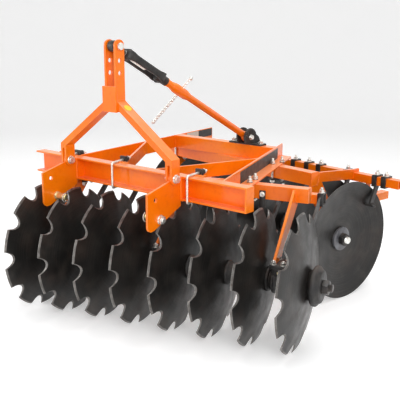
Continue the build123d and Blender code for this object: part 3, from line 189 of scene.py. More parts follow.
def skin(mesh, rings):
    """Joins rings of equally many points into one closed skin in an open mesh."""
    loops = [[mesh.verts.new(point) for point in ring] for ring in rings]
    for near, far in zip(loops, loops[1:]):
        for k in range(len(near)):
            mesh.faces.new((near[k - 1], near[k], far[k], far[k - 1]))
    mesh.faces.new(loops[0])
    mesh.faces.new(loops[-1])


def finished(name, mesh, material, body, crease=34):
    """Turns an open mesh into a piece that rides on its body, smooth except across its creases."""
    bmesh.ops.recalc_face_normals(mesh, faces=mesh.faces)
    data = bpy.data.meshes.new(name)
    mesh.to_mesh(data)
    mesh.free()
    data.materials.append(material)
    data.shade_smooth()
    data.set_sharp_from_angle(angle=math.radians(crease))
    piece = bpy.data.objects.new(name, data)
    bpy.context.scene.collection.objects.link(piece)
    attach(piece, body)
    return piece


def weld(mesh, start, end, width=0.008, step=0.0022):
    """One run of rippled fillet weld, as a hand-held torch lays it from start to end."""
    run = end - start
    aim = run.to_track_quat("Z", "Y").to_matrix()
    count = max(4, int(run.length / step))
    rings = []
    for k in range(count + 1):
        ripple = 1 + 0.16 * (k % 3) / 2 + random.uniform(-0.05, 0.05)
        taper = min(1.0, 0.45 + 0.3 * min(k, count - k))
        radius = width / 2 * ripple * taper
        middle = start + run * (k / count)
        round_points = [(math.cos(math.tau * n / 8), math.sin(math.tau * n / 8)) for n in range(8)]
        rings.append([middle + aim @ Vector((radius * x, radius * y, 0)) for x, y in round_points])
    skin(mesh, rings)


BEAM_TOP = 672.0
BEAM_BACK = 172.0
SIDE_LOW = 604.0
LEFT_FACE_X = 63.0
LEFT_LEAN = -0.0896
RIGHT_FACE_X = 897.0
RIGHT_LEAN = -0.349
CROSS_FRONT = 906.0
CROSS_BACK = 956.0
CLEAT_SPOTS = (-50.0, 322.0, 755.0)
random.seed(4)


def left_face(y):
    """Where the left side beam's inner face is, at a distance back."""
    return LEFT_FACE_X + LEFT_LEAN * (y - BEAM_BACK)


def right_face(y):
    """Where the right side beam's outer face is, at a distance back."""
    return RIGHT_FACE_X + RIGHT_LEAN * (y - BEAM_BACK)


beads = bmesh.new()
for x in (left_face(BEAM_BACK), left_face(BEAM_BACK) - 8, right_face(BEAM_BACK), right_face(BEAM_BACK) - 8):
    weld(beads, spot(x, BEAM_BACK + 1, SIDE_LOW + 10), spot(x, BEAM_BACK + 1, BEAM_TOP - 2))
for y in (CROSS_FRONT, CROSS_BACK):
    weld(beads, spot(left_face(y) + 1, y, SIDE_LOW + 2), spot(left_face(y) + 1, y, BEAM_TOP - 2))
    weld(beads, spot(right_face(y) - 10, y, SIDE_LOW + 2), spot(right_face(y) - 10, y, BEAM_TOP - 2))
for x in CLEAT_SPOTS:
    for side in (x - 32, x + 32):
        weld(beads, spot(side, BEAM_BACK + 1, 576), spot(side, BEAM_BACK + 1, BEAM_TOP - 3))
    weld(beads, spot(x - 30, BEAM_BACK + 1, BEAM_TOP), spot(x + 30, BEAM_BACK + 1, BEAM_TOP))
for node in ("left_brace", "right_brace"):
    low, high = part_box(node)
    near_x = high.x if node == "left_brace" else low.x
    near_y = low.y if node == "right_brace" else low.y
    weld(beads, Vector((near_x - 0.012, near_y + 0.002, low.z + 0.002)),
         Vector((near_x - 0.012, near_y + 0.002, high.z - 0.002)), width=0.007)
finished("frame_welds", beads, paint, "frame", crease=60)


# The strips on the side beams and the round one on the mast are thin vinyl film in plain colours. They
# are cut with round corners, pressed on the enamel and lifted by their own thickness; the dark film is
# glossy, and dirt gathers along its borders.

STRIP_T = 0.5
STRIP_CORNER = 5.0


def film(name, tone, dirt):
    """Glossy plastic film over paint, of one colour, a little scuffed."""
    material, shader = new_finish(name, 0.0, coat=0.1, coat_roughness=0.3)
    base = blended(material, product(material, cloud(material, 70, 0.52, 0.75), 0.4), tone, dirt)
    base = blended(material, product(material, sharp_edges(material, 0.003), 0.5), base, dirt)
    roughness = between(material, cloud(material, 45, 0.35, 0.7), 0.42, 0.6)
    join_up(material, shader, base, roughness, cloud(material, 30, 0, 1), cloud(material, 300, 0, 1), 0.00008)
    return material


dark_film = film("dark_film", colour(17, 16, 17), colour(52, 46, 42))
pale_film = film("pale_film", colour(226, 214, 200), colour(186, 160, 136))
yellow_film = film("yellow_film", colour(250, 205, 24), colour(214, 160, 40))


def strip(name, material, corner, along, up, length, height):
    """A flat film with round corners from its lowest corner, lifted off the face it is stuck to."""
    outward = along.cross(up)
    outline = []
    for x, y, turn in ((length, 0, -90), (length, height, 0), (0, height, 90), (0, 0, 180)):
        inner = Vector((x - math.copysign(STRIP_CORNER, x - 1), y - math.copysign(STRIP_CORNER, y - 1)))
        for k in range(5):
            angle = math.radians(turn + 22.5 * k)
            outline.append(inner + STRIP_CORNER * Vector((math.cos(angle), math.sin(angle))))
    mesh = bmesh.new()
    levels = (-1.0, STRIP_T)
    skin(mesh, [[corner + (along * p.x + up * p.y + outward * h) / 1000 for p in outline] for h in levels])
    return finished(name, mesh, material, "frame")


UP = Vector((0, 0, 1))
right_run = Vector((RIGHT_LEAN, 1, 0)).normalized()
left_run = Vector((LEFT_LEAN, 1, 0)).normalized()
strip("right_beam_strip", dark_film, spot(right_face(373), 373, 613), right_run, UP, 620, 51)
strip("left_beam_dark_strip", dark_film, spot(left_face(1259), 1259, 627), -left_run, UP, 134, 42)
strip("left_beam_pale_strip", pale_film, spot(left_face(1123), 1123, 627), -left_run, UP, 112, 42)


# The hitch: a profile-cut plate under each end of the front beam carries an inward pin for the
# tractor's lower link. The plates are 10 mm steel in the frame's enamel; the pins are turned bar,
# yellow zinc plated, held by a nut outside and closed by a spring ring through the free end.

HITCH_FACES = ((98.0, 1.0), (710.0, -1.0))
PIN_Y = 2.0
PIN_Z = 520.73
PIN_REACH = 66.0
HITCH_T = 10.0


def metal_plate(name, tones, metallic, smooth, rough, stain, stain_share):
    """Plated or bare steel: mottled plating, dull patches, stains in patches, and a painted highlight along
    the sharp edges.
    """
    material, shader = new_finish(name, metallic)
    base = blended(material, cloud(material, 35, 0.38, 0.66), tones[0], tones[1])
    base = blended(material, product(material, cloud(material, 90, 0.55, 0.7), stain_share), base, stain)
    # A painted highlight: every sharp edge lightened towards near white.
    bright = product(material, sharp_edges(material, 0.0012), 0.4)
    base = blended(material, bright, base, colour(236, 234, 228))
    roughness = between(material, cloud(material, 60, 0.35, 0.68), smooth, rough)
    join_up(material, shader, base, roughness, cloud(material, 50, 0, 1), cloud(material, 500, 0, 1), 0.00012)
    return material


gold_zinc = metal_plate(
    "yellow_zinc_plate", (colour(240, 222, 164), colour(222, 202, 150)), 0.8, 0.26, 0.42,
    colour(170, 140, 104), 0.3)
zinc = metal_plate(
    "bright_zinc_plate", (colour(238, 236, 230), colour(214, 212, 206)), 0.8, 0.24, 0.4,
    colour(190, 186, 180), 0.12)

dress(paint, "orange_paint", 0.0014, "left_hitch_plate", "right_hitch_plate")


def aimed(origin, along, turn=0.0):
    """The place at an origin whose height runs along a direction, turned about it by an angle."""
    face = along.to_track_quat("Z", "Y").to_matrix().to_4x4()
    return Matrix.Translation(origin) @ face @ Matrix.Rotation(turn, 4, "Z")


def ring(place, height, radius, count=32):
    """A ring of points round a place's axis; height and radius in millimetres."""
    angles = [math.tau * k / count for k in range(count)]
    reach = [radius(angle) if callable(radius) else radius for angle in angles]
    rim = [(r * math.cos(a), r * math.sin(a), height) for r, a in zip(reach, angles)]
    return [place @ (Vector(point) / 1000) for point in rim]


def turned(mesh, place, profile, count=32):
    """A turned piece: its profile is pairs of height and radius along the place's axis."""
    skin(mesh, [ring(place, height, radius, count) for height, radius in profile])


def hexagon(mesh, place, low, high, across):
    """A hexagon forging between two heights, its corners turned back at both ends."""
    depth = 0.057 * across

    def limit(gap):
        def reach(angle):
            flat = across / 2 / math.cos((angle + math.pi / 6) % (math.pi / 3) - math.pi / 6)
            return min(flat, 0.48 * across + 1.73 * gap)
        return reach

    gaps = ((low, 0), (low + depth / 2, depth / 2), (low + depth, depth),
            (high - depth, depth), (high - depth / 2, depth / 2), (high, 0))
    skin(mesh, [ring(place, height, limit(gap), 36) for height, gap in gaps])


def thread(mesh, place, low, high, radius, pitch=1.75):
    """A rolled thread between two heights, with a chamfered end."""
    count = max(2, round((high - low) / pitch * 2))
    rises = [(low + (high - low) * k / count, radius * (1 if k % 2 else 0.87)) for k in range(count)]
    turned(mesh, place, rises + [(high - 0.4, 0.86 * radius), (high, 0.72 * radius)], 20)


def bolt(mesh, foot, along, size, tail=0.0, nut=0.85):
    """A washer and a hexagon on a face, with the threaded end showing where a tail is given."""
    place = aimed(foot, along, random.uniform(0, 1))
    washer = 0.17 * size
    top = washer + nut * size
    turned(mesh, place, ((-0.5, 1.05 * size), (washer * 0.7, 1.05 * size), (washer, size)), 28)
    hexagon(mesh, place, washer, top, 1.6 * size)
    if tail:
        thread(mesh, place, top - 0.5, top + tail, size / 2)
    else:
        turned(mesh, place, ((top - 0.6, 0.62 * size), (top + 0.5, 0.6 * size), (top + 0.2, 0.5 * size)), 24)


def rod(mesh, corners, radius, bend=10.0, count=14):
    """A bent round bar through corner places, each corner a true arc."""
    path = [corners[0]]
    for before, corner, after in zip(corners, corners[1:], corners[2:]):
        start = corner + (before - corner).normalized() * bend / 1000
        end = corner + (after - corner).normalized() * bend / 1000
        for k in range(7):
            t = k / 6
            path.append(start * (1 - t) ** 2 + corner * 2 * t * (1 - t) + end * t ** 2)
    path.append(corners[-1])
    side = (path[1] - path[0]).orthogonal().normalized()
    rings = []
    for k, middle in enumerate(path):
        run = (path[min(k + 1, len(path) - 1)] - path[max(k - 1, 0)]).normalized()
        side = (side - run * side.dot(run)).normalized()
        other = run.cross(side)
        turns = [math.tau * n / count for n in range(count)]
        rings.append([middle + (side * math.cos(a) + other * math.sin(a)) * radius / 1000 for a in turns])
    skin(mesh, rings)


for name, (face, inward) in zip(("left_hitch_pin", "right_hitch_pin"), HITCH_FACES):
    axis = Vector((inward, 0, 0))
    place = aimed(spot(face, PIN_Y, PIN_Z), axis)
    mesh = bmesh.new()
    turned(mesh, place, (
        (-0.5, 17.2), (0, 18), (7.6, 18), (9, 16.6), (9.4, 14.6), (10.2, 13.9), (12, 14), (50, 14),
        (50.4, 13.2), (52.6, 13.2), (53, 14), (PIN_REACH - 4, 14),
        (PIN_REACH - 1, 12.4), (PIN_REACH, 10.6)), 48)
    finished(name + "_turned", mesh, gold_zinc, "frame")
    mesh = bmesh.new()
    outer = aimed(spot(face - inward * HITCH_T, PIN_Y, PIN_Z), -axis, 0.3)
    turned(mesh, outer, ((-0.5, 19), (2.2, 19), (2.8, 18.2)), 40)
    hexagon(mesh, outer, 2.8, 14, 30)
    thread(mesh, outer, 13.5, 20, 10, 2.0)
    nut = finished(name + "_nut", mesh, zinc, "frame")
    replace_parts(nut, name)
    mesh = bmesh.new()
    cross = spot(face + inward * (PIN_REACH - 8), PIN_Y, PIN_Z)
    rod(mesh, [cross + Vector((0, -0.003, 0.019)), cross + Vector((0, 0.002, -0.02))], 2.6, count=12)
    loop = []
    for k in range(25):
        angle = math.pi * (0.5 - 2 * k / 26)
        reach = (inward * 0.005, 0.019 * math.cos(angle) - 0.002, 0.020 * math.sin(angle))
        loop.append(cross + Vector(reach))
    rod(mesh, loop, 2.0, bend=2.0, count=10)
    finished(name + "_spring_ring", mesh, zinc, "frame")

beads = bmesh.new()
for face, inward in HITCH_FACES:
    for x in (face, face - inward * HITCH_T):
        weld(beads, spot(x, BEAM_BACK - 49, 576), spot(x, BEAM_BACK - 49, BEAM_TOP - 2), width=0.008)
        weld(beads, spot(x, BEAM_BACK - 48, 573), spot(x, BEAM_BACK - 10, 573), width=0.008)
finished("hitch_welds", beads, paint, "frame", crease=60)


# Three U-bolts hold the front gang beam's brackets to the front beam. Each is one bar of zinc
# plated steel bent round the beam, drawn up on a black forged clamp plate behind the welded cleat
# by two nuts on long threads.

U_BOLTS = ((44.0, 42.0, 172.0), (335.0, 302.0, 200.0), (758.0, 740.0, 200.0))
U_FRONT = 116.0
U_LEGS = (678.0, 568.5)
U_R = 5.2
CLAMP_TO_END = 58.0


def black_finish(name, dark, light, smooth, rough, grain):
    """Blackened steel or iron: a dull dark skin, browned in patches, with a painted highlight in grey patches
    along the sharp edges.
    """
    material, shader = new_finish(name, 0.15)
    base = blended(material, cloud(material, 26, 0.36, 0.66), dark, light)
    brown = product(material, cloud(material, 12, 0.52, 0.7), 0.35)
    base = blended(material, brown, base, colour(84, 62, 50))
    # A painted highlight: grey patches along the sharp edges.
    edge_highlight_patches = product(material, sharp_edges(material, 0.0018), cloud(material, 50, 0.4, 0.6))
    base = blended(material, product(material, edge_highlight_patches, 0.6), base, colour(132, 128, 124))
    pale_tops = product(material, facing_up(material, 0.4), cloud(material, 20, 0.35, 0.7))
    base = blended(material, product(material, pale_tops, 0.2), base, colour(150, 136, 124))
    roughness = between(material, cloud(material, 40, 0.3, 0.7), smooth, rough)
    join_up(material, shader, base, roughness, cloud(material, 40, 0, 1), cloud(material, 260, 0, 1), grain)
    return material


dull_steel = black_finish("dull_grey_steel", colour(84, 84, 88), colour(124, 124, 128), 0.3, 0.46, 0.0002)
black_iron = black_finish("black_cast_iron", colour(30, 29, 29), colour(52, 49, 47), 0.42, 0.66, 0.0007)
black_steel = black_finish("black_oxide_steel", colour(34, 33, 33), colour(58, 55, 53), 0.32, 0.52, 0.0002)


def block(mesh, low, high, place=Matrix.Identity(4), ease=2.0):
    """A forged block with eased edges between two corners in millimetres, set in a place."""
    rings = []
    for z, draw in ((low[2], ease), (low[2] + ease * 0.3, ease * 0.3), (low[2] + ease, 0),
                    (high[2] - ease, 0), (high[2] - ease * 0.3, ease * 0.3), (high[2], ease)):
        x0, x1, y0, y1 = low[0] + draw, high[0] - draw, low[1] + draw, high[1] - draw
        outline = ((x0 + ease, y0), (x1 - ease, y0), (x1 - ease * 0.3, y0 + ease * 0.3), (x1, y0 + ease),
                   (x1, y1 - ease), (x1 - ease * 0.3, y1 - ease * 0.3), (x1 - ease, y1), (x0 + ease, y1),
                   (x0 + ease * 0.3, y1 - ease * 0.3), (x0, y1 - ease), (x0, y0 + ease),
                   (x0 + ease * 0.3, y0 + ease * 0.3))
        rings.append([place @ (Vector((x, y, z)) / 1000) for x, y in outline])
    skin(mesh, rings)


bars = bmesh.new()
plates = bmesh.new()
nuts = bmesh.new()
for front_x, back_x, seat in U_BOLTS:
    end_y = seat + CLAMP_TO_END
    lean = (back_x - front_x) / (end_y - U_FRONT)
    ends = [spot(back_x - lean * 16, end_y - 16, z) for z in U_LEGS]
    bends = [spot(front_x, U_FRONT, z) for z in U_LEGS]
    rod(bars, [ends[0], bends[0], bends[1], ends[1]], U_R, bend=9.0, count=18)
    plate_x = front_x + lean * (seat + 6 - U_FRONT)
    along = Vector((lean, 1, 0)).normalized()
    base = spot(plate_x, seat, 0)
    block(plates, (-19, 0, 561), (19, 11, 694), Matrix.Translation(base), ease=3.0)
    for z in U_LEGS:
        foot = spot(front_x + lean * (seat + 11 - U_FRONT), seat + 11, z)
        place = aimed(foot, along, random.uniform(0, 1))
        turned(plates, place, ((0, 11), (0.6, 12), (12, 12), (12.8, 11)), 28)
        hexagon(plates, place, 12.8, 24, 21)
        hexagon(nuts, place, 24, 32, 19)
        thread(bars, place, 31, 47, U_R, 1.5)
finished("beam_u_bolts", bars, zinc, "frame")
finished("u_bolt_clamp_plates", plates, black_iron, "frame")
finished("u_bolt_lock_nuts", nuts, zinc, "frame")


# The mast: two uprights and two bent arms of flat bar, welded to one front plate and pinned to the
# hitch plates. It is enamelled like the frame, rocks a little on its two foot bolts, and carries the
# top-link holes; the foot bolts and the top pin are zinc plated.

ARM_FOOT_Y = 79.0
FOOT_Z = 670.0
FOOT_SIDES = ((76.0, 110.0), (698.0, 732.0))
TOP_PIN_Z = 1169.0
PLATE_SIDES = (371.0, 437.0)

dress(paint, "orange_paint", 0.0014, "mast_left_plate", "mast_right_plate", "mast_front_plate")
dress(paint, "orange_paint", 0.0018, "mast_left_arm", "mast_right_arm")

mesh = bmesh.new()
for left, right in FOOT_SIDES:
    shank = aimed(spot(left, ARM_FOOT_Y, FOOT_Z), Vector((1, 0, 0)))
    turned(mesh, shank, ((0, 9.9), (right - left, 9.9)), 28)
    bolt(mesh, spot(right, ARM_FOOT_Y, FOOT_Z), Vector((1, 0, 0)), 17.0, nut=0.62)
    bolt(mesh, spot(left, ARM_FOOT_Y, FOOT_Z), Vector((-1, 0, 0)), 17.0, tail=3.0, nut=0.5)
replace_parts(finished("mast_foot_bolts", mesh, zinc, "frame"), "mast_foot_pins")

mesh = bmesh.new()
pin = aimed(spot(PLATE_SIDES[0] - 8, ARM_FOOT_Y, TOP_PIN_Z), Vector((1, 0, 0)))
turned(mesh, pin, (
    (-5, 8), (-4, 10), (-2, 11), (75, 11), (76, 14), (77, 15), (82, 15), (85, 13.6), (86, 9)), 40)
turned(mesh, pin, ((2, 12), (2.6, 18), (7.4, 18), (8, 17)), 32)
split_pin = spot(PLATE_SIDES[0] - 10.5, ARM_FOOT_Y, TOP_PIN_Z)
rod(mesh, [split_pin + Vector((0, 0.004, 0.019)), split_pin + Vector((0, -0.002, -0.021))], 1.8)
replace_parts(finished("mast_top_pin_turned", mesh, zinc, "mast"), "mast_top_pin")

beads = bmesh.new()
low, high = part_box("mast_front_plate")
for x in (low.x + 0.006, high.x - 0.006):
    weld(beads, Vector((x, high.y, low.z + 0.003)), Vector((x, high.y, high.z - 0.002)))
for x in PLATE_SIDES:
    weld(beads, spot(x, 56, 954), spot(x, 102, 954))
    weld(beads, spot(x, 104, 912), spot(x, 104, 952))
finished("mast_welds", beads, paint, "mast", crease=60)

slope = Vector((295, 0, -208)).normalized()
mesh = bmesh.new()
film_place = aimed(spot(475.9, ARM_FOOT_Y, 926.6), slope.cross(Vector((0, -1, 0))))
turned(mesh, film_place, ((-1, 16.5), (0.4, 16.5), (0.6, 16)), 40)
finished("mast_round_film", mesh, yellow_film, "mast")


# The stay: an adjustable strut from the mast's head to the crossbeam. A blackened forged screw runs
# in an open turnbuckle, which is welded to an orange tube with a thick sleeve; a twisted, zinc plated
# tommy bar through the sleeve turns it, and a cast bracket bolted to the crossbeam holds its lower eye.

STAY_TOP = spot(404, 79, 1169)
STAY_DOWN = Vector((66, 826, -457)).normalized()
STAY_ACROSS = Vector((0.9968, -0.0796, 0)).normalized()
STAY_L = 946.3
stay_side = STAY_DOWN.cross(STAY_ACROSS)
basis = Matrix((STAY_ACROSS, stay_side, STAY_DOWN)).transposed().to_4x4()
strut = Matrix.Translation(STAY_TOP) @ basis
EYE_R = 23.0


def eye(mesh, centre, axis, half):
    """A forged eye: a short round barrel across the strut with broken corners."""
    place = aimed(centre, axis)
    turned(mesh, place, ((-half, 12), (-half, 19), (2 - half, 22), (5 - half, EYE_R), (half - 5, EYE_R),
                         (half - 2, 22), (half, 19), (half, 12)), 40)


mesh = bmesh.new()
eye(mesh, STAY_TOP, STAY_ACROSS, 19)
turned(mesh, strut, ((10, 17), (22, 16.5), (27, 14.5), (33, 12.6), (42, 11.6), (96, 11.4)), 32)
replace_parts(finished("stay_screw_eye", mesh, black_steel, "stay_upper"), "stay_screw")
mesh = bmesh.new()
thread(mesh, strut, 60, 190, 12, 3.0)
finished("stay_screw_thread", mesh, zinc, "stay_upper", crease=60)

mesh = bmesh.new()
for side in (-1, 1):
    rings = []
    for along, out, half_t, half_h in (
            (62, 19, 8, 15), (65, 21, 9.5, 18), (74, 26, 9.5, 20), (86, 29.5, 8, 19), (100, 30.5, 6.6, 16),
            (120, 30.5, 6.4, 15), (234, 30.5, 6.4, 15), (252, 30.5, 6.6, 16), (266, 29.5, 8, 19),
            (278, 26, 9.5, 20), (287, 21, 9.5, 18), (290, 19, 8, 15)):
        rim = []
        for n in range(20):
            angle = math.tau * n / 20
            x = math.copysign(abs(math.cos(angle)) ** 0.5, math.cos(angle)) * half_t
            y = math.copysign(abs(math.sin(angle)) ** 0.5, math.sin(angle)) * half_h
            rim.append(strut @ (Vector((side * out + x, y, along)) / 1000))
        rings.append(rim)
    skin(mesh, rings)
turned(mesh, strut, ((62, 15), (64, 19), (67, 21.5), (90, 21.5), (95, 19), (97, 14)), 32)
turned(mesh, strut, ((257, 14), (259, 19), (264, 21.5), (290, 21.5), (294, 20), (322, 19.6), (326, 18)), 32)
for height in (68, 284):
    for rib in (-0.019, 0.019):
        block(mesh, (-26, -4, height - 4), (26, 4, height + 8), strut @ Matrix.Translation((0, rib, 0)), 2.0)
casting = finished("turnbuckle_casting", mesh, black_iron, "stay_lower")
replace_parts(casting, "stay_turnbuckle")


def seam(mesh, place, height, radius, width=6.0):
    """A weld run right round a tube, its ripples seen as a scalloped ring."""
    def crest(angle):
        return radius + width * 0.42 + 0.5 * math.sin(34 * angle)
    turned(mesh, place, ((height - width, radius - 1), (height - width / 3, crest),
                         (height + width / 3, crest), (height + width, radius - 1)), 136)


mesh = bmesh.new()
turned(mesh, strut, (
    (318, 14), (318.6, 16.2), (364, 16.2), (372, 19), (380, 21.5), (392, 22.6), (448, 22.6), (460, 21.5),
    (468, 19), (476, 16.2), (STAY_L - 20, 16.2), (STAY_L - 14, 15)), 40)
lower_eye = strut @ Vector((0, 0, STAY_L / 1000))
eye(mesh, lower_eye, STAY_ACROSS, 18)
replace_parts(finished("stay_tube_painted", mesh, paint, "stay_lower"), "stay_tube")
mesh = bmesh.new()
seam(mesh, strut, 326, 16.4)
seam(mesh, strut, 366, 16.6, 3.5)
seam(mesh, strut, 474, 16.6, 3.5)
seam(mesh, strut, STAY_L - 24, 16.2)
finished("stay_seams", mesh, paint, "stay_lower", crease=60)

TOMMY_AT = 420.0
TOMMY_TURN = math.radians(59.4)
TOMMY_ENDS = (-84.0, 192.0)
TWIST = 58.0
tommy_run = stay_side * math.sin(TOMMY_TURN) - STAY_ACROSS * math.cos(TOMMY_TURN)
tommy = aimed(strut @ Vector((0, 0, TOMMY_AT / 1000)), tommy_run)


def twisted(height):
    """The cross-section of a square bar twisted along its length, as a radius by angle."""
    def reach(angle):
        return 6.0 + 1.1 * math.cos(4 * (angle - math.tau * height / TWIST))
    return reach


mesh = bmesh.new()
steps = 118
twisted_run = TOMMY_ENDS[1] - TOMMY_ENDS[0] - 12
heights = [TOMMY_ENDS[0] + 6 + twisted_run * k / steps for k in range(steps + 1)]
skin(mesh, [ring(tommy, height, twisted(height), 28) for height in heights])
for end, inward in ((TOMMY_ENDS[0], 1), (TOMMY_ENDS[1], -1)):
    arc = [math.pi * k / 12 for k in range(1, 12)]
    ball = [(end + inward * (9 - 9.5 * math.cos(a)), 9.5 * math.sin(a)) for a in arc]
    turned(mesh, tommy, ball, 24)
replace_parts(finished("tommy_bar_twisted", mesh, zinc, "stay_lower"), "tommy_bar")

dress(black_iron, "black_castings", 0.0025, "stay_bracket")
mesh = bmesh.new()
CHEEK_R = 44.0
CHEEK_INNER = 19.6


def cheek_edge(angle):
    """The cheek's reach: a fluted half round, cut off flat just over the base."""
    down = max(1e-3, -math.sin(angle))
    return min(CHEEK_R + 0.9 * math.cos(26 * angle), (lower_eye.z * 1000 - 681) / down)


for side in (-1, 1):
    cheek = aimed(lower_eye, STAY_ACROSS * side)
    outline = (
        (CHEEK_INNER, cheek_edge), (CHEEK_INNER + 9, cheek_edge),
        (CHEEK_INNER + 10.5, lambda a: cheek_edge(a) - 2))
    turned(mesh, cheek, outline, 156)
    for k in range(7):
        ray = cheek @ Matrix.Rotation(math.radians(18 + 24 * k), 4, "Z")
        block(mesh, (17, -2, CHEEK_INNER + 9), (41, 2, CHEEK_INNER + 13), ray, 1.0)
finished("bracket_ribs", mesh, black_iron, "frame")
mesh = bmesh.new()
bolt(mesh, spot(375, 931, 680), UP, 13.0, tail=6.0)
bolt(mesh, spot(541, 931, 680), UP, 13.0, tail=6.0)
bolt(mesh, lower_eye + STAY_ACROSS * 0.030, STAY_ACROSS, 13.0, nut=0.7)
bolt(mesh, lower_eye - STAY_ACROSS * 0.030, -STAY_ACROSS, 13.0, nut=0.6, tail=3.0)
turned(mesh, aimed(lower_eye, STAY_ACROSS), ((-30, 11.7), (30, 11.7)), 28)
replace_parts(finished("bracket_bolts", mesh, zinc, "frame"), "stay_bracket_pin")


# The gang beams: two channels under the frame, set at opposite angles, each with three flat hangers
# welded in front that reach down to the bearings. They are enamelled; zinc plated studs with black
# clamp bars hold them up against the side beams' flanges.

FRONT_ANGLE = math.radians(14.9)
REAR_ANGLE = math.radians(10.0)
AXLE_Z = 278.0
front_run = Vector((math.cos(FRONT_ANGLE), math.sin(FRONT_ANGLE), 0))
rear_run = Vector((math.cos(REAR_ANGLE), -math.sin(REAR_ANGLE), 0))


def gang_place(origin, run):
    """A gang's own place: X to the rear, Y up from its axle, and Z along its axle."""
    back = UP.cross(run)
    return Matrix.Translation(origin) @ Matrix((back, UP, run)).transposed().to_4x4()


FRONT = gang_place(spot(0, 0, AXLE_Z), front_run)
REAR = gang_place(spot(1035, 938, AXLE_Z), rear_run)


def on_gang(gang, back, z, along):
    """A place on a gang: behind its axle, at a height over the floor, and along the axle."""
    return gang @ (Vector((back, z - AXLE_Z, along)) / 1000)


dress(paint, "orange_paint", 0.0016, "front_gang_beam", "rear_gang_beam", "front_hangers", "rear_hangers")

GANG_TOP = 604.0
GANG_LOW = 544.0
FLANGE_TOP = 612.0
FRONT_BEAM_BACK = (210.0, 260.0)
REAR_BEAM_BACK = (-160.0, -110.0)


def crossing(gang, middle, face, lean, offset):
    """Where a side beam's flange crosses a gang beam, as a distance along the gang's axle."""
    into = gang.inverted()
    near = into @ spot(face + offset, BEAM_BACK, AXLE_Z)
    far = into @ spot(face + offset + lean * 1000, BEAM_BACK + 1000, AXLE_Z)
    share = (middle / 1000 - near.x) / (far.x - near.x)
    return (near.z + (far.z - near.z) * share) * 1000


crossings = (
    (FRONT, FRONT_BEAM_BACK, crossing(FRONT, 235, LEFT_FACE_X, LEFT_LEAN, -34)),
    (FRONT, FRONT_BEAM_BACK, crossing(FRONT, 235, RIGHT_FACE_X, RIGHT_LEAN, 30)),
    (REAR, REAR_BEAM_BACK, crossing(REAR, -135, LEFT_FACE_X, LEFT_LEAN, -34)),
    (REAR, REAR_BEAM_BACK, crossing(REAR, -135, RIGHT_FACE_X, RIGHT_LEAN, 30)))
studs = bmesh.new()
clamps = bmesh.new()
for gang, (near, far), along in crossings:
    for back in (near - 7, far + 7):
        foot = on_gang(gang, back, FLANGE_TOP, along)
        stud_place = aimed(on_gang(gang, back, GANG_LOW - 24, along), UP)
        turned(studs, stud_place, ((0, 4.4), (0.8, 5.2), (118, 5.2)), 20)
        washer_place = aimed(on_gang(gang, back, GANG_TOP, along), UP)
        turned(clamps, washer_place, ((8, 11), (8.6, 12), (11, 12)), 24)
        bolt(studs, foot + UP * 0.003, UP, 12.0, tail=12.0)
        bolt(studs, on_gang(gang, back, GANG_LOW - 9, along), -UP, 12.0, tail=5.0)
    low = (near - 20, GANG_LOW - AXLE_Z - 9, along - 16)
    block(clamps, low, (far + 20, GANG_LOW - AXLE_Z, along + 16), gang, 1.6)
finished("gang_beam_studs", studs, zinc, "frame")
finished("gang_beam_clamp_bars", clamps, black_steel, "frame")

SHANK_PLATE_S = 973.0
mesh = bmesh.new()
low = (FRONT_BEAM_BACK[0] - 8, 508 - AXLE_Z, SHANK_PLATE_S - 13)
block(mesh, low, (FRONT_BEAM_BACK[0], 582 - AXLE_Z, SHANK_PLATE_S + 13), FRONT, 2.0)
finished("front_beam_shank_plate", mesh, black_steel, "frame")
mesh = bmesh.new()
ahead = -(UP.cross(front_run))
bolt(mesh, on_gang(FRONT, FRONT_BEAM_BACK[0] - 8, 566, SHANK_PLATE_S), ahead, 11.0, nut=0.6)
finished("front_beam_shank_bolt", mesh, zinc, "frame")

BEARING_AT = (0, 3, 6)
PITCH = 172.0
FRONT_HANGER_S = 78.0
REAR_HANGER_S = 102.0
beads = bmesh.new()
for k in BEARING_AT:
    for side in (-6, 6):
        s = k * PITCH + FRONT_HANGER_S + side
        weld(beads, on_gang(FRONT, 209, 546, s), on_gang(FRONT, 209, 596, s))
        weld(beads, on_gang(FRONT, 212, 543, s), on_gang(FRONT, 256, 543, s))
        s = -k * PITCH - REAR_HANGER_S + side
        weld(beads, on_gang(REAR, -109, 546, s), on_gang(REAR, -109, 596, s))
        weld(beads, on_gang(REAR, -158, 543, s), on_gang(REAR, -112, 543, s))
finished("hanger_welds", beads, paint, "frame", crease=60)


# The bearings: three split iron housings on each gang, bolted up under the hangers' feet. They are
# rough castings painted black, with ribs round the barrel, a machined pad, pressed seal covers and
# a plated grease nipple on the side.

BEARING_S = 98.0
PAD_Z = 64.0

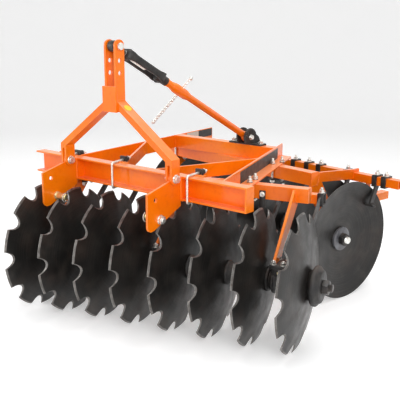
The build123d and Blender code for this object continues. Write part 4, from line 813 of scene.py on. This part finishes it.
for gang, sense, name in ((FRONT, 1, "front"), (REAR, -1, "rear")):
    castings = bmesh.new()
    covers = bmesh.new()
    bolts = bmesh.new()
    nipples = bmesh.new()
    for k in BEARING_AT:
        middle = sense * (k * PITCH + BEARING_S)
        barrel = gang @ Matrix.Translation((0, 0, middle / 1000))
        half = [(38, 30), (37.4, 39), (35, 41), (31, 42), (28, 45), (26, 51), (23, 54), (18, 54), (15, 51),
                (12, 50)]
        profile = [(-h, r) for h, r in half] + [(h, r) for h, r in reversed(half)]
        turned(castings, barrel, profile, 56)
        block(castings, (-42, 20, -22), (42, PAD_Z + 2, 22), barrel, 3.0)
        block(castings, (-49, PAD_Z - 6, -33), (49, PAD_Z + 11, 33), barrel, 2.5)
        for side in (-1, 1):
            block(castings, (side * 30 - 5, 30, -29), (side * 30 + 5, PAD_Z + 2, 29), barrel, 2.0)
            cover = ((side * 36, 36), (side * 39, 36), (side * 40.2, 34), (side * 40.4, 27))
            turned(covers, barrel, cover, 48)
            rib = [(side * 4 + h, r) for h, r in ((-1.4, 48), (-1, 51), (1, 51), (1.4, 48))]
            turned(castings, barrel, rib, 56)
            for end in (-1, 1):
                foot = barrel @ (Vector((side * 34, PAD_Z + 11, end * 20)) / 1000)
                bolt(bolts, foot, UP, 12.0, tail=5.0)
        front_side = barrel @ (Vector((-36, 38, 0)) / 1000)
        lean = (barrel.to_3x3() @ Vector((-0.75, 0.66, 0))).normalized()
        turned(nipples, aimed(front_side, lean), (
            (-4, 5), (4, 5), (4.4, 4.2), (7, 3.2), (9, 3.2), (10, 2.4), (11.6, 3.2), (13, 2.2)), 20)
    casting = finished(name + "_bearing_castings", castings, black_iron, "frame")
    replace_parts(casting, name + "_bearings")
    finished(name + "_bearing_covers", covers, black_steel, "frame")
    finished(name + "_bearing_bolts", bolts, zinc, "frame")
    finished(name + "_grease_nipples", nipples, gold_zinc, "frame")


# The discs: eight on each gang, pressed from 5 mm spring steel to a shallow dish. The front ones have
# ten round notches cut in the rim and the rear ones are plain; all are ground to a bevel on the
# outer side and coated satin black, which soil polishes off along the cutting edge.

DISC_R = 278.0
HUB_R = 75.0
DISC_DISH = 46.0
DISC_T = 5.0
BEVEL_W = 6.0
EDGE_T = 1.2
NOTCH_W = 74.0
NOTCH_DEPTH = 40.0
NOTCHES = 10
DISC_COUNT = 8


def disc_finish(name):
    """Satin black over scoured steel: faint rings from pressing, lightened in colour as a painted sheen,
    brown bloom, and soil haze.
    """
    material, shader = new_finish(name, 0.2, coat=0.08, coat_roughness=0.3)
    shader.inputs["Specular IOR Level"].default_value = 0.35
    base = blended(material, cloud(material, 5, 0.35, 0.66), colour(27, 26, 25), colour(42, 40, 38))
    base = blended(material, product(material, cloud(material, 9, 0.5, 0.74), 0.5), base, colour(58, 46, 40))
    unwrapped = add_node(material, "ShaderNodeTexCoord", {}).outputs["UV"]
    rings = add_node(material, "ShaderNodeMapping", {"Vector": unwrapped, "Scale": (5.0, 70.0, 1.0)})
    fine = {"Vector": rings.outputs["Vector"], "Scale": 1.0, "Detail": 5.0}
    grain = add_node(material, "ShaderNodeTexNoise", fine)
    lines = {"Value": grain.outputs["Fac"], "From Min": 0.48, "From Max": 0.74}
    pressing_rings_and_sheen = add_node(material, "ShaderNodeMapRange", lines).outputs["Result"]
    # The pressing rings are lightened a little in colour: a painted sheen over the real marks.
    base = blended(material, product(material, pressing_rings_and_sheen, 0.12), base, colour(112, 106, 102))
    haze = product(material, cloud(material, 13, 0.48, 0.8, 7.0), 0.2)
    base = blended(material, haze, base, colour(104, 95, 88))
    roughness = between(material, cloud(material, 18, 0.3, 0.7), 0.3, 0.5)
    join_up(material, shader, base, roughness, pressing_rings_and_sheen, cloud(material, 380, 0, 1), 0.00012)
    return material


disc_black = disc_finish("disc_black")
bare_edge = metal_plate(
    "bare_cutting_edge", (colour(120, 117, 114), colour(84, 80, 77)), 0.7, 0.32, 0.5,
    colour(84, 66, 56), 0.4)


def dished(radius):
    """How far the disc's outer side stands out of its rim's plane at a radius."""
    fall = DISC_DISH / (DISC_R ** 2 - HUB_R ** 2)
    return DISC_DISH - fall * max(0.0, radius ** 2 - HUB_R ** 2)


def notched_rim():
    """Pairs of angle and reach round a notched rim: round-bottomed notches between broad teeth."""
    half = math.asin(NOTCH_W / 2 / DISC_R)
    pitch = math.tau / NOTCHES
    across = (-1, -0.985, -0.94, -0.86, -0.74, -0.56, -0.3, 0, 0.3, 0.56, 0.74, 0.86, 0.94, 0.985, 1)
    rim = []
    for notch in range(NOTCHES):
        for u in across:
            depth = NOTCH_DEPTH * (1 - abs(u) ** 2.3) ** 0.72
            rim.append((pitch * notch + half * u, DISC_R - depth))
        for k in range(1, 5):
            rim.append((pitch * notch + half + (pitch - 2 * half) * k / 5, DISC_R))
    return rim


def plain_rim():
    """Pairs of angle and reach round a plain rim."""
    return [(math.tau * k / 150, DISC_R) for k in range(150)]


def pressed_disc(mesh, gang, along, sense, rim):
    """One dished disc; sense is +1 where its hollow side faces back down the axle."""
    unwrap = mesh.loops.layers.uv.verify()
    shares = (0.25, 0.5, 0.75, 0.9, 1.0)
    rows = []
    for outer in (False, True):
        inner = [[r] * len(rim) for r in (20.0, 48.0, HUB_R)]
        edge = [reach - (BEVEL_W if outer else 0.0) for _, reach in rim]
        spread = [[HUB_R + (e - HUB_R) * share for e in edge] for share in shares]
        lift = 0.0 if outer else -DISC_T
        side = [(row, lift) for row in inner + spread]
        if outer:
            side = [([reach for _, reach in rim], EDGE_T - DISC_T)] + side[::-1]
        rows += side
    loops = []
    for reaches, lift in rows:
        loop = []
        for (angle, _), r in zip(rim, reaches):
            height = sense * (dished(r) + lift) + along
            point = Vector((r * math.cos(angle), r * math.sin(angle), height))
            loop.append(mesh.verts.new(gang @ (point / 1000)))
        loops.append(loop)
    count = len(rim)
    rim_row = len(shares) + 2
    for row, (near, far) in enumerate(zip(loops, loops[1:])):
        for k in range(count):
            face = mesh.faces.new((near[k - 1], near[k], far[k], far[k - 1]))
            face.material_index = 1 if row in (rim_row, rim_row + 1) else 0
            turns = (k - 1, k, k, k - 1)
            radii = (rows[row][0][k - 1], rows[row][0][k], rows[row + 1][0][k], rows[row + 1][0][k - 1])
            for corner, turn, r in zip(face.loops, turns, radii):
                corner[unwrap].uv = (turn / count, r / DISC_R)
    mesh.faces.new(loops[0])
    mesh.faces.new(loops[-1])


for gang, sense, rim, name in ((FRONT, 1, notched_rim(), "front"), (REAR, -1, plain_rim(), "rear")):
    mesh = bmesh.new()
    for k in range(DISC_COUNT):
        pressed_disc(mesh, gang, sense * k * PITCH, sense, rim)
    discs = finished(name + "_pressed_discs", mesh, disc_black, name + "_gang", crease=14)
    discs.data.materials.append(bare_edge)
    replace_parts(discs, name + "_discs")


# The axles and spools: a square bar through each gang, cast iron spools between the discs, a dished
# end bell at each gang's far end and a heavy plate washer at its near end. The castings are black;
# the axle's nuts are blackened too, and its cut end is bare.

HUB_FACE = 46.0
NUT_ACROSS = 52.0

for gang, sense, name in ((FRONT, 1, "front"), (REAR, -1, "rear")):
    body = name + "_gang"
    mesh = bmesh.new()
    for k in range(DISC_COUNT - 1):
        start = k * PITCH + HUB_FACE
        if k in BEARING_AT:
            profile = ((0, 46), (1.5, 49), (4, 50), (8, 50), (10, 48), (11, 40), (12, 25), (93, 25), (94, 40),
                       (97, 43), (104, 41), (116, 36), (123, 34.5), (134, 35), (146, 39), (154, 44),
                       (158, 49), (161, 50), (165, 50), (167, 47))
        else:
            profile = ((0, 46), (1.5, 49), (4, 50), (9, 50), (12, 48), (18, 43), (30, 38), (46, 35), (66, 34),
                       (83, 34), (101, 34), (121, 35), (137, 38), (149, 43), (155, 48), (158, 50), (163, 50),
                       (165.5, 49), (167, 46))
        turned(mesh, gang, [(sense * (start + h), r) for h, r in profile], 56)
    spools = finished(name + "_cast_spools", mesh, black_iron, body)
    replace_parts(spools, name + "_spools")

    mesh = bmesh.new()
    far = (DISC_COUNT - 1) * PITCH + HUB_FACE
    bell = ((0, 57), (1, 58), (9, 66), (14, 76), (17, 79), (22, 80), (29, 80), (33, 78), (38, 72), (43, 67),
            (48, 64), (50, 61), (50, 30))
    turned(mesh, gang, [(sense * (far + h), r) for h, r in bell], 64)
    bells = finished(name + "_cast_bells", mesh, black_iron, body)
    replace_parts(bells, name + "_end_bells")
    mesh = bmesh.new()
    washer = ((29, 30), (29, 54), (30.2, 56), (39.8, 56), (41, 55))
    turned(mesh, gang, [(sense * h, r) for h, r in washer], 64)
    washer_plate = finished(name + "_plate_washer", mesh, dull_steel, body)
    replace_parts(washer_plate, name + "_end_bells")

    mesh = bmesh.new()
    for low_s, high_s in ((3, 29), (far + 50, far + 76)):
        ends = sorted((sense * low_s, sense * high_s))
        hexagon(mesh, gang, ends[0], ends[1], NUT_ACROSS)
    turned(mesh, gang, [(sense * h, r) for h, r in ((20, 18), (far + 60, 18))], 24)
    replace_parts(finished(name + "_axle_nuts", mesh, black_steel, body), name + "_axle")
    for tip, root in ((-11, 4), (far + 90, far + 75)):
        mesh = bmesh.new()
        steps = max(3, round(abs(tip - root) / 1.5))
        ridges = [(root + (tip - root) * n / steps, 15.4 if n % 2 else 14) for n in range(steps)]
        turned(mesh, gang, [(sense * h, r) for h, r in ridges + [(tip, 12)]], 32)
        near_end = tip < 0
        end_name = name + ("_axle_near_end" if near_end else "_axle_far_end")
        finished(end_name, mesh, zinc if near_end else black_steel, body, crease=50)


# The scraper bars: square tubes behind each gang, on flat arms from the gang beam, carry one scraper
# for every disc. The bars are enamelled; each scraper is a blackened steel shank with a welded blade
# in a folded clamp, drawn tight by a plated bolt and nut on top.

FRONT_BAR_BACK = 335.0
REAR_BAR_BACK = 190.0
BAR_MIDDLE_Z = 540.0
CLAMP_HALF = 27.3
CLAMP_AT = 12.0
SHANK_HALF = 5.0
FRONT_SHANK = ((310.7, 276), (310.7, 246), (166, 138), (148, 160))
FRONT_BLADE = ((148, 160), (166, 138), (159, 132), (141, 154))
REAR_SHANK = ((204, 237.7), (176, 237.7), (138, 152), (160, 146))
REAR_BLADE = ((138, 152), (160, 146), (157, 138), (135, 144))
STRAP_T = 7.0
STRAP_HALF = 13.0
BLADE_HALF = 24.0
REAR_SPARE_CLAMPS = (63.0, -411.0)

dress(paint, "orange_paint", 0.0018, "front_scraper_bar", "rear_scraper_bar")


def prism(mesh, gang, outline, low_s, high_s, ease=1.2):
    """A flat bar cut to an outline in the gang's upright plane, with eased edges."""
    middle = [sum(c) / len(outline) for c in zip(*outline)]
    rings = []
    for s, draw in ((low_s, ease), (low_s + ease, 0), (high_s - ease, 0), (high_s, ease)):
        shrink = [(x + math.copysign(min(draw, abs(middle[0] - x)), middle[0] - x),
                   y + math.copysign(min(draw, abs(middle[1] - y)), middle[1] - y)) for x, y in outline]
        rings.append([gang @ (Vector((x, y, s)) / 1000) for x, y in shrink])
    skin(mesh, rings)


def strap(mesh, gang, back, s):
    """A folded clamp round the bar: four sides of flat strip with an eased fold at each corner."""
    low_y = BAR_MIDDLE_Z - AXLE_Z - CLAMP_HALF
    for x0, x1, y0, y1 in (
            (-CLAMP_HALF, CLAMP_HALF, 0, STRAP_T),
            (-CLAMP_HALF, CLAMP_HALF, 2 * CLAMP_HALF - STRAP_T, 2 * CLAMP_HALF),
            (-CLAMP_HALF, STRAP_T - CLAMP_HALF, 0, 2 * CLAMP_HALF),
            (CLAMP_HALF - STRAP_T, CLAMP_HALF, 0, 2 * CLAMP_HALF)):
        low = (back + x0, low_y + y0, s - STRAP_HALF)
        block(mesh, low, (back + x1, low_y + y1, s + STRAP_HALF), gang, 1.6)


bolts = bmesh.new()
for gang, sense, back, shank, blade, extras, name in (
        (FRONT, 1, FRONT_BAR_BACK, FRONT_SHANK, FRONT_BLADE, (), "front"),
        (REAR, -1, REAR_BAR_BACK, REAR_SHANK, REAR_BLADE, REAR_SPARE_CLAMPS, "rear")):
    mesh = bmesh.new()
    clamped = []
    for k in range(DISC_COUNT):
        s = sense * (k * PITCH - CLAMP_AT)
        clamped.append(s)
        strap(mesh, gang, back, s)
        prism(mesh, gang, shank, s - SHANK_HALF, s + SHANK_HALF)
        prism(mesh, gang, blade, s - BLADE_HALF, s + BLADE_HALF, 0.8)
        root = (shank[2][0] + shank[3][0]) / 2, (shank[2][1] + shank[3][1]) / 2
        for side in (-1, 1):
            lug = s + side * (SHANK_HALF + 3)
            outline = [(root[0] + x, root[1] + y) for x, y in ((-6, 2), (5, -6), (8, 8))]
            prism(mesh, gang, outline, lug - 3, lug + 3, 0.8)
    scrapers = finished(name + "_scraper_set", mesh, black_steel, "frame")
    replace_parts(scrapers, name + "_scrapers")
    if extras:
        mesh = bmesh.new()
        for s in extras:
            strap(mesh, gang, back, s)
        finished(name + "_spare_straps", mesh, black_steel, "frame")
    for s in clamped + list(extras):
        bolt(bolts, on_gang(gang, back, BAR_MIDDLE_Z + CLAMP_HALF, s), UP, 12.0, tail=10.0)
finished("scraper_clamp_bolts", bolts, zinc, "frame")

beads = bmesh.new()
caps = bmesh.new()
for gang, (near, far), ends in (
        (FRONT, FRONT_BEAM_BACK, (-10.0, 1165.0)), (REAR, REAR_BEAM_BACK, (-1165.0, -96.0))):
    for s, outward in zip(ends, (-1, 1)):
        low_s, high_s = sorted((s, s + outward * 3.5))
        low = (near + 1, GANG_LOW - AXLE_Z + 1, low_s)
        block(caps, low, (far - 1, GANG_TOP - AXLE_Z - 1, high_s), gang, 1.2)
        corners = [on_gang(gang, b, z, s + outward) for b, z in (
            (near + 1, GANG_LOW + 1), (far - 1, GANG_LOW + 1),
            (far - 1, GANG_TOP - 1), (near + 1, GANG_TOP - 1))]
        for start, end in zip(corners, corners[1:] + corners[:1]):
            weld(beads, start, end, width=0.005)
finished("gang_beam_end_caps", caps, paint, "frame")
finished("gang_beam_cap_welds", beads, paint, "frame", crease=60)


# The studio: a pale sweep of paper under and behind the harrow, lit by three large soft boxes and a
# dim even surround. The camera stands a little above the beam, off the front right corner, as in
# the photo.

PAPER = (0.84, 0.84, 0.84, 1.0)
SEEN_GLOW = 0.34
GLOSS_GLOW = 0.45
FLAT_R = 5.6
SWEEP_R = 2.2
WALL_TOP = 7.5
profile = [(0.0, 0.0), (2.0, 0.0), (FLAT_R, 0.0)]
for k in range(1, 13):
    angle = math.radians(7.5 * k)
    profile.append((FLAT_R + SWEEP_R * math.sin(angle), SWEEP_R * (1 - math.cos(angle))))
profile.append((FLAT_R + SWEEP_R, WALL_TOP))
paper = bpy.data.materials.new("white_paper")
paper.use_nodes = True
sheet = paper.node_tree.nodes["Principled BSDF"]
sheet.inputs["Base Color"].default_value = PAPER
sheet.inputs["Roughness"].default_value = 0.9
sheet.inputs["Emission Color"].default_value = (1, 1, 1, 1)
seen = add_node(paper, "ShaderNodeLightPath", {})
shown = product(paper, seen.outputs["Is Camera Ray"], SEEN_GLOW)
mirrored = {0: seen.outputs["Is Glossy Ray"], 1: GLOSS_GLOW, 2: shown}
glow = add_node(paper, "ShaderNodeMath", mirrored, operation="MULTIPLY_ADD")
paper.node_tree.links.new(glow.outputs[0], sheet.inputs["Emission Strength"])
mesh = bmesh.new()
rows = []
for radius, height in profile[1:]:
    turns = [math.tau * k / 96 for k in range(96)]
    rows.append([mesh.verts.new((radius * math.cos(a), radius * math.sin(a), height)) for a in turns])
mesh.faces.new(rows[0])
for near, far in zip(rows, rows[1:]):
    for k in range(96):
        mesh.faces.new((near[k - 1], near[k], far[k], far[k - 1]))
bmesh.ops.recalc_face_normals(mesh, faces=mesh.faces)
data = bpy.data.meshes.new("paper_sweep")
mesh.to_mesh(data)
mesh.free()
data.shade_smooth()
data.materials.append(paper)
backdrop = bpy.data.objects.new("paper_sweep", data)
bpy.context.scene.collection.objects.link(backdrop)


def soft_box(name, place, target, width, height, power):
    """A rectangular soft box aimed at a point."""
    light = bpy.data.lights.new(name, "AREA")
    light.shape = "RECTANGLE"
    light.size = width
    light.size_y = height
    light.energy = power
    lamp = bpy.data.objects.new(name, light)
    lamp.location = place
    lamp.rotation_euler = (Vector(target) - Vector(place)).to_track_quat("-Z", "Y").to_euler()
    bpy.context.scene.collection.objects.link(lamp)


soft_box("overhead_box", (0.2, 0.4, 4.6), (0, 0, 0.3), 4.0, 4.0, 150)
soft_box("key_box", (3.6, -3.4, 2.8), (0, 0, 0.4), 2.0, 2.0, 120)
soft_box("fill_box", (-3.4, -3.0, 2.0), (0, 0, 0.4), 2.0, 2.0, 50)

world = bpy.data.worlds.new("studio_surround")
world.use_nodes = True
world.node_tree.nodes["Background"].inputs["Color"].default_value = (1, 1, 1, 1)
world.node_tree.nodes["Background"].inputs["Strength"].default_value = 0.35
bpy.context.scene.world = world
bpy.context.scene.view_settings.view_transform = "Standard"

LENS = 63.57
view = bpy.data.cameras.new("photo_camera")
view.lens = LENS
view.sensor_width = 36.0
camera = bpy.data.objects.new("photo_camera", view)
look = Matrix(((0.7702, -0.1569, 0.6182), (0.6378, 0.1852, -0.7476), (0.0028, 0.9701, 0.2427)))
camera.matrix_world = Matrix.Translation(spot(2516.6, -1931.2, 1258.9)) @ look.to_4x4()
bpy.context.scene.collection.objects.link(camera)
bpy.context.scene.camera = camera
